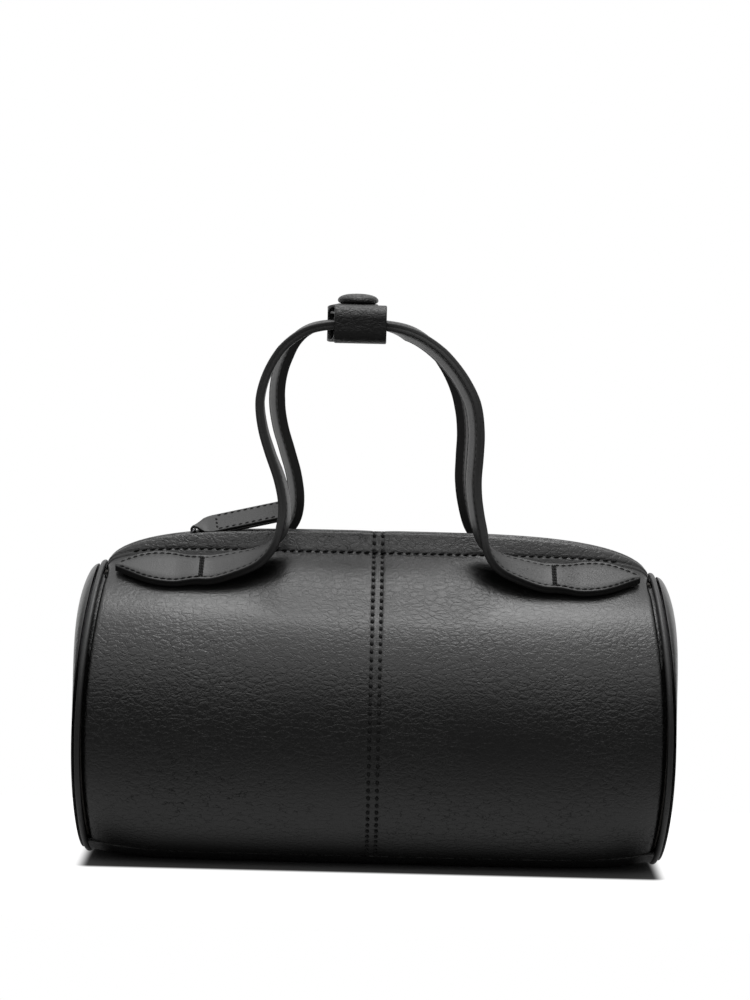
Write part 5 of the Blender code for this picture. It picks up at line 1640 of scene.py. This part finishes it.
# %% [markdown]
# Thread shows as short, fat, slightly slanted dashes that sink into the leather at both ends. One stitch is
# modelled from a sphere that is stretched and pinched. It is copied to every place of a row, each copy with
# its own mesh, and each row is joined into one piece that rides with the leather it holds. A row's size is
# the length, width and height of its stitches.
# %% One stitch and how a row is sewn
SLANT = math.radians(13.0)
STITCH_BODY = 0.35
STITCH_SINK = 0.5
DIRECTION_REACH = 0.2


def make_stitch():
    bpy.ops.object.select_all(action="DESELECT")
    bpy.ops.mesh.primitive_uv_sphere_add(
        segments=8, ring_count=8, radius=1.0, rotation=(0.0, math.pi / 2.0, 0.0)
    )
    stitch = bpy.context.object
    bpy.ops.object.transform_apply(location=True, rotation=True, scale=True)
    for vertex in stitch.data.vertices:
        x, y, z = vertex.co
        body = (1.0 + STITCH_BODY * (1.0 - abs(x))) / (1.0 + STITCH_BODY)
        vertex.co = (x, y * body, z * body - STITCH_SINK * x * x)
    return stitch


STITCH = make_stitch()
STITCH_MESH = STITCH.data


def sew(name, places, size):
    """Joins a copy of the stitch at each (point, direction, outward normal)."""
    half_length, half_width, half_height = (extent / 2.0 for extent in size)
    copies = []
    for point, along, outward in places:
        along = Vector(along).normalized()
        outward = Vector(outward)
        outward = (outward - along * outward.dot(along)).normalized()
        across = outward.cross(along)
        turned = along * math.cos(SLANT) + across * math.sin(SLANT)
        aside = outward.cross(turned)
        axes = Matrix((turned * half_length, aside * half_width, outward * half_height))
        matrix = axes.transposed().to_4x4()
        matrix.translation = Vector(point)
        copy = bpy.data.objects.new(name, STITCH_MESH.copy())
        copy.data.transform(matrix)
        bpy.context.collection.objects.link(copy)
        copies.append(copy)
    bpy.ops.object.select_all(action="DESELECT")
    for copy in copies:
        copy.select_set(True)
    bpy.context.view_layer.objects.active = copies[0]
    bpy.ops.object.join()
    row = bpy.context.object
    row.name = name
    row.data.name = name
    only(row)
    bpy.ops.object.shade_smooth()
    return dress(row, THREAD)


def along_line(points, pitch):
    """Places at even pitch along a polyline of points, with their directions."""
    points = np.array(points)
    lengths = distances_along(points)
    wanted = np.arange(pitch * 0.5, lengths[-1], pitch)
    ahead = values_at(wanted + pitch * DIRECTION_REACH, lengths, points)
    behind = values_at(wanted - pitch * DIRECTION_REACH, lengths, points)
    return wanted, values_at(wanted, lengths, points), ahead - behind


print("stitch", len(STITCH_MESH.polygons), "faces")

# %% [markdown]
# On the body a row runs along each lip, just above the crease, and one row goes down either side of the
# centre seam, front and rear. The rows follow the same sections as the leather, so they sit in its grooves.
# %% Stitches on the body
HEM_STITCH = (0.0029, 0.0011, 0.0009)
HEM_END_SHARE = 0.90
HEM_STITCH_LIFT = 0.00005
HEM_FACES_UP = 0.45
SEAM_STITCH = (0.0024, 0.0016, 0.0009)
SEAM_STITCH_LIFT = -0.00036
SEAM_ROW_END = 3.3


def side_place(share, stage, front, lift):
    """A point on the side leather and its outward normal."""
    step = 1e-3
    corner = []
    for ds, dt in ((0.0, 0.0), (step, 0.0), (0.0, step)):
        y, z = side_section((share + ds) * END_X_WIDEST, stage + dt)
        corner.append(Vector(((share + ds) * (end_x(z) - SEAM_REACH), front * float(y), float(z))))
    normal = (corner[1] - corner[0]).cross(corner[2] - corner[0]).normalized() * -front
    return corner[0] + normal * lift, normal


def hem_stage(x):
    """Stage of the lip at which the row of stitches runs."""
    stages = np.linspace(2.0, 3.0, 41)
    _, z = side_section(np.full(len(stages), x), stages)
    return float(np.interp(hem_z(x) + HEM_ROW_ABOVE, z, stages))


def hem_row(front):
    """Sewn from the middle to either end, so that the row is the same on both sides of the seam."""
    line = []
    for share in np.linspace(-HEM_END_SHARE, HEM_END_SHARE, 240):
        line.append(side_place(share, hem_stage(share * END_X_WIDEST), front, HEM_STITCH_LIFT)[0])
    half = len(line) // 2
    places = []
    for part in (line[half:], line[:half + 1][::-1]):
        _, at, along = along_line(part, HEM_PITCH)
        outward = Vector((0.0, front, HEM_FACES_UP))
        places += [(p, a if a[0] > 0.0 else -a, outward) for p, a in zip(at, along)]
    return places


def seam_rows(front):
    """Both rows beside the centre seam, at the pits of the leather."""
    places = []
    stages = rows_of_side()
    lengths = row_lengths()
    wanted = np.arange(SEAM_PITCH * 0.5, np.interp(SEAM_ROW_END, stages, lengths), SEAM_PITCH)
    for side in (-1.0, 1.0):
        share = side * SEAM_ROW_X / END_X_WIDEST
        for length in wanted:
            stage = float(np.interp(length, lengths, stages))
            point, normal = side_place(share, stage, front, SEAM_STITCH_LIFT)
            ahead = side_place(share, stage + 0.01, front, SEAM_STITCH_LIFT)[0]
            places.append((point, ahead - point, normal))
    return places


for row, front in FRONT_AND_REAR:
    hem = sew(f"hem_stitches_{row}", hem_row(front), HEM_STITCH)
    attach(hem, "bag")
    seam = sew(f"seam_stitches_{row}", seam_rows(front), SEAM_STITCH)
    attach(seam, "bag")
    print(row, "stitches", len(hem.data.polygons) // len(STITCH_MESH.polygons))

# %% [markdown]
# On the handles the thread goes round each tab, twice across its neck, and along both edges of the strap on
# both faces. A tab is sewn to the body, so its rows ride with the bag. A strap's outline has nine points on
# each face, and the thread runs along the second and the eighth.
# %% Stitches on the handles
TAB_STITCH = (0.0026, 0.0012, 0.0009)
STRAP_STITCH = (0.0025, 0.0010, 0.0006)
HANDLE_PITCH = 0.0031
BAR_PITCH = 0.0020
LINE_ENDS = 3
OUTER_LINES = (1, 7)
FACE_POINTS = 9
ON_TAB = 0.00025
ON_STRAP = 0.00003


def line_places(rings, column, face, lift):
    """A row along one line of the strap's outline. The face is 1 outside and -1 inside."""
    middles = rings.mean(axis=1)
    normals = (rings[:, FACE_POINTS // 2] - middles) * face
    normals /= np.linalg.norm(normals, axis=1)[:, None]
    line = rings[:, column] + normals * lift
    wanted, at, along = along_line(line, HANDLE_PITCH)
    return list(zip(at, along, values_at(wanted, distances_along(line), normals)))


def bar_places(ring, next_ring, face_normal):
    """Two short rows across the neck of a tab."""
    places = []
    for row in (ring, next_ring):
        line = row[OUTER_LINES[0]:OUTER_LINES[1] + 1] + face_normal * ON_TAB
        _, at, along = along_line(line, BAR_PITCH)
        places += [(point, direction, face_normal) for point, direction in zip(at, along)]
    return places


def tab_places(row):
    """The rows round both tabs of a handle and the bars across their necks."""
    rings, frames = RINGS[row], FRAMES[row]
    places = []
    for column in OUTER_LINES:
        places += line_places(rings[LINE_ENDS:TAB_RINGS], column, 1.0, ON_TAB)
        places += line_places(rings[-TAB_RINGS:-LINE_ENDS], column, 1.0, ON_TAB)
    places += bar_places(rings[TAB_RINGS - 2], rings[TAB_RINGS], np.array(frames[0][2]))
    places += bar_places(rings[-TAB_RINGS + 1], rings[-TAB_RINGS - 1], np.array(frames[-1][2]))
    return places


def strap_places(row):
    """The rows along both edges of a strap, on its outer and its inner face."""
    rings = RINGS[row][TAB_RINGS:-TAB_RINGS]
    inner = len(rings[0]) // 2
    places = []
    for column in OUTER_LINES:
        places += line_places(rings, column, 1.0, ON_STRAP)
        places += line_places(rings, column + inner, -1.0, ON_STRAP)
    return places


def mirrored(places, front):
    """The rear handle's places are those of a front one, seen in a mirror."""
    if front < 0:
        return places
    flip = Vector((1.0, -1.0, 1.0))
    return [tuple(Vector(v) * flip for v in place) for place in places]


for row, front in FRONT_AND_REAR:
    thread = sew(f"{row}_tab_stitches", mirrored(tab_places(row), front), TAB_STITCH)
    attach(thread, "bag")
    thread = sew(f"{row}_strap_stitches", mirrored(strap_places(row), front), STRAP_STITCH)
    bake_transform(thread)
    print(row, "handle stitches", len(thread.data.polygons) // len(STITCH_MESH.polygons))

# %% [markdown]
# The pull has a row along each edge on both of its faces, and a short one across the neck.
# %% Stitches on the pull
PULL_STITCH = (0.0024, 0.0011, 0.00070)
PULL_ROW_FROM = 0.0105
PULL_ROW_TO = PULL_LENGTH - 0.0016
PULL_BAR_HALF = 0.0052


def pull_places():
    """Past its neck the pull's frame no longer turns, so one direction outward serves a whole face."""
    places = []
    start, width, face = pull_frame(PULL_ROW_FROM)
    for outward in (face, -face):
        lines = []
        for side in (-1.0, 1.0):
            line = []
            for distance in np.linspace(PULL_ROW_FROM, PULL_ROW_TO, 60):
                aside = side * (pull_width(distance) / 2.0 - PULL_INSET)
                line.append(pull_frame(distance)[0] + width * aside)
            lines.append(line)
        lines.append([start + width * aside for aside in np.linspace(-PULL_BAR_HALF, PULL_BAR_HALF, 9)])
        for line in lines:
            lifted = [point + outward * (GAP / 2.0 + PULL_LAYER) for point in line]
            _, at, along = along_line(lifted, HANDLE_PITCH)
            places += [(point, direction, outward) for point, direction in zip(at, along)]
    return places


thread = sew("zip_pull_stitches", pull_places(), PULL_STITCH)
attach(thread, "zip_pull")
bpy.data.objects.remove(STITCH, do_unlink=True)
print("pull faces", len(thread.data.polygons))

# %% [markdown]
# The remaining solids are rigid or hidden and keep their own meshes. Each takes the finish of its material.
# %% Finishes of the solids that stay
KEPT = {
    METAL: (
        "zip_slider", "zip_slider_base", "zip_link", "zip_stop_left", "zip_stop_right",
        "snap_stud", "snap_socket", "snap_post",
    ),
    TEETH: ("zip_teeth_front", "zip_teeth_rear"),
    BOARD: (
        "base_board", "end_board_left", "end_board_right", "tab_patch_front_left",
        "tab_patch_front_right", "tab_patch_rear_left", "tab_patch_rear_right",
    ),
}
for material, names in KEPT.items():
    for name in names:
        dress(nodes[name], material)
print("kept", sum(len(names) for names in KEPT.values()))

# %% [markdown]
# The stage is a plain pale floor on white. Light Path lets the camera see white all round, and what shines
# or is clear sees the world white too overhead and behind. At eye level the room is dim, which is what
# keeps black leather black. Away from the bag the floor takes its white from Light Path. In a box round the
# bag's foot the white is left out, so the floor there is lit by the lamps alone: it shows their real shadow
# under the round sides, and the box's dark edge is painted shadow. To what shines or is clear, the floor
# glows with painted light, brightest a little way out from the foot and fainter further off: a painted
# reflection of a lit table. Distances on the floor are measured from a box round the bag's foot.
# %% Floor and world
FLOOR_SIZE = (0.62, 0.34)
FLOOR_GREY = 0.45
FOOT_BOX = (("X", 0.128), ("Y", 0.037))
WHITE_FADE = (0.001, 0.008)
# Painted glow of the floor in reflections: its strength, how far inside the box it starts, where it rises
# and where it falls to its far level.
FLOOR_PAINTED_GLOW = 0.36
GLOW_NEARER = 0.0075
GLOW_RISE = (0.0, 0.024)
GLOW_FALL = (0.034, 0.088)
FAR_PAINTED_GLOW = 0.25
ROOM_LEVEL = 0.14
OVERHEAD = (0.25, 0.85)
BEHIND = (0.35, 0.80)


def seen_rays(tree):
    """1 for camera rays, and 1 for glossy and transmission rays."""
    path = tree.nodes.new("ShaderNodeLightPath")
    shiny = math_node(tree, "MAXIMUM", path.outputs["Is Glossy Ray"], path.outputs["Is Transmission Ray"])
    return path.outputs["Is Camera Ray"], shiny


def beyond_bag(tree, nearer):
    """Distance on the floor beyond a box round the bag's foot, drawn in by the given length."""
    place = split_xyz(tree, object_place(tree))
    squares = []
    for axis, reach in FOOT_BOX:
        over = math_node(tree, "SUBTRACT", math_node(tree, "ABSOLUTE", place[axis]), reach - nearer)
        over = math_node(tree, "MAXIMUM", over, 0.0)
        squares.append(math_node(tree, "MULTIPLY", over, over))
    return math_node(tree, "SQRT", math_node(tree, "ADD", *squares))


def make_floor():
    bpy.ops.object.select_all(action="DESELECT")
    bpy.ops.mesh.primitive_plane_add(size=1.0, location=(0.0, 0.0, 0.0))
    floor = bpy.context.object
    floor.name = "studio_floor"
    bpy.ops.transform.resize(value=(*FLOOR_SIZE, 1.0))
    bpy.ops.object.transform_apply(location=True, rotation=True, scale=True)
    material, tree, shader = new_material("floor_white", 0.9, specular=0.0)
    shader.inputs["Base Color"].default_value = (FLOOR_GREY, FLOOR_GREY, FLOOR_GREY, 1.0)
    shader.inputs["Emission Color"].default_value = (1.0, 1.0, 1.0, 1.0)
    # The white is left out in a box round the foot: there the floor is darker, partly the lamps' real shadow
    # and partly painted shadow.
    white = map_range(tree, beyond_bag(tree, 0.0), *WHITE_FADE, smoothly=True)
    # The floor's glow to glossy and transmission rays is painted light, a painted reflection: it rises past
    # the box's edge and fades further out.
    beyond = beyond_bag(tree, GLOW_NEARER)
    near = map_range(tree, beyond, *GLOW_RISE, 0.0, FLOOR_PAINTED_GLOW, smoothly=True)
    far = map_range(tree, beyond, *GLOW_FALL, 1.0, FAR_PAINTED_GLOW, smoothly=True)
    camera_ray, shiny = seen_rays(tree)
    painted_glow = math_node(tree, "MULTIPLY", shiny, math_node(tree, "MULTIPLY", near, far))
    seen = math_node(tree, "MAXIMUM", math_node(tree, "MULTIPLY", camera_ray, white), painted_glow)
    tree.links.new(seen, shader.inputs["Emission Strength"])
    dress(floor, material)
    return floor


def make_world():
    world = bpy.data.worlds.new("studio")
    world.use_nodes = True
    bpy.context.scene.world = world
    tree = world.node_tree
    background = tree.nodes["Background"]
    background.inputs["Color"].default_value = (1.0, 1.0, 1.0, 1.0)
    direction = split_xyz(tree, tree.nodes.new("ShaderNodeTexCoord").outputs["Generated"])
    overhead = map_range(tree, direction["Z"], *OVERHEAD, smoothly=True)
    behind = map_range(tree, direction["Y"], *BEHIND, smoothly=True)
    studio = math_node(tree, "MAXIMUM", overhead, behind)
    camera_ray, shiny = seen_rays(tree)
    seen = math_node(tree, "MAXIMUM", camera_ray, math_node(tree, "MULTIPLY", shiny, studio))
    strength = map_range(tree, seen, 0.0, 1.0, ROOM_LEVEL)
    tree.links.new(strength, background.inputs["Strength"])


make_floor()
make_world()
print("floor", FLOOR_SIZE)

# %% [markdown]
# One large softbox hangs above the bag, a little to the right and towards the rear. It draws the bright
# band on the shoulder, which fades down the round side. A weak fill from the camera's side opens the
# shadows.
# %% Lights
LAMPS_AIM = Vector((0.0, 0.0, 0.1))


def softbox(name, place, size, size_y, energy):
    data = bpy.data.lights.new(name, "AREA")
    data.shape = "ELLIPSE"
    data.size = size
    data.size_y = size_y
    data.energy = energy
    lamp = bpy.data.objects.new(name, data)
    bpy.context.collection.objects.link(lamp)
    lamp.location = place
    lamp.rotation_euler = (LAMPS_AIM - Vector(place)).to_track_quat("-Z", "Y").to_euler()
    return lamp


softbox("top_softbox", place=(0.045, 0.092, 1.15), size=0.62, size_y=0.55, energy=4.2)
softbox("front_softbox", place=(0.0, -1.0, 0.9), size=1.5, size_y=0.4, energy=0.5)

# %% [markdown]
# The camera looks straight at the front from a little above, with a long lens. The bag stands very slightly
# turned clockwise in the picture, so the camera is rolled the other way.
# %% Camera
LENS = 140.0
DISTANCE = 1.8
ELEVATION = math.radians(4.0)
ROLL = math.radians(1.4)
TARGET = Vector((-0.0021, 0.0, 0.1674))

camera_data = bpy.data.cameras.new("camera")
camera_data.lens = LENS
camera_data.sensor_width = 36.0
camera = bpy.data.objects.new("camera", camera_data)
bpy.context.collection.objects.link(camera)
back = Vector((0.0, -math.cos(ELEVATION), math.sin(ELEVATION)))
camera.location = TARGET + back * DISTANCE
aim = (-back).to_track_quat("-Z", "Y").to_matrix() @ Matrix.Rotation(ROLL, 3, "Z")
camera.rotation_euler = aim.to_euler()
bpy.context.scene.camera = camera
bpy.context.scene.view_settings.view_transform = "Standard"
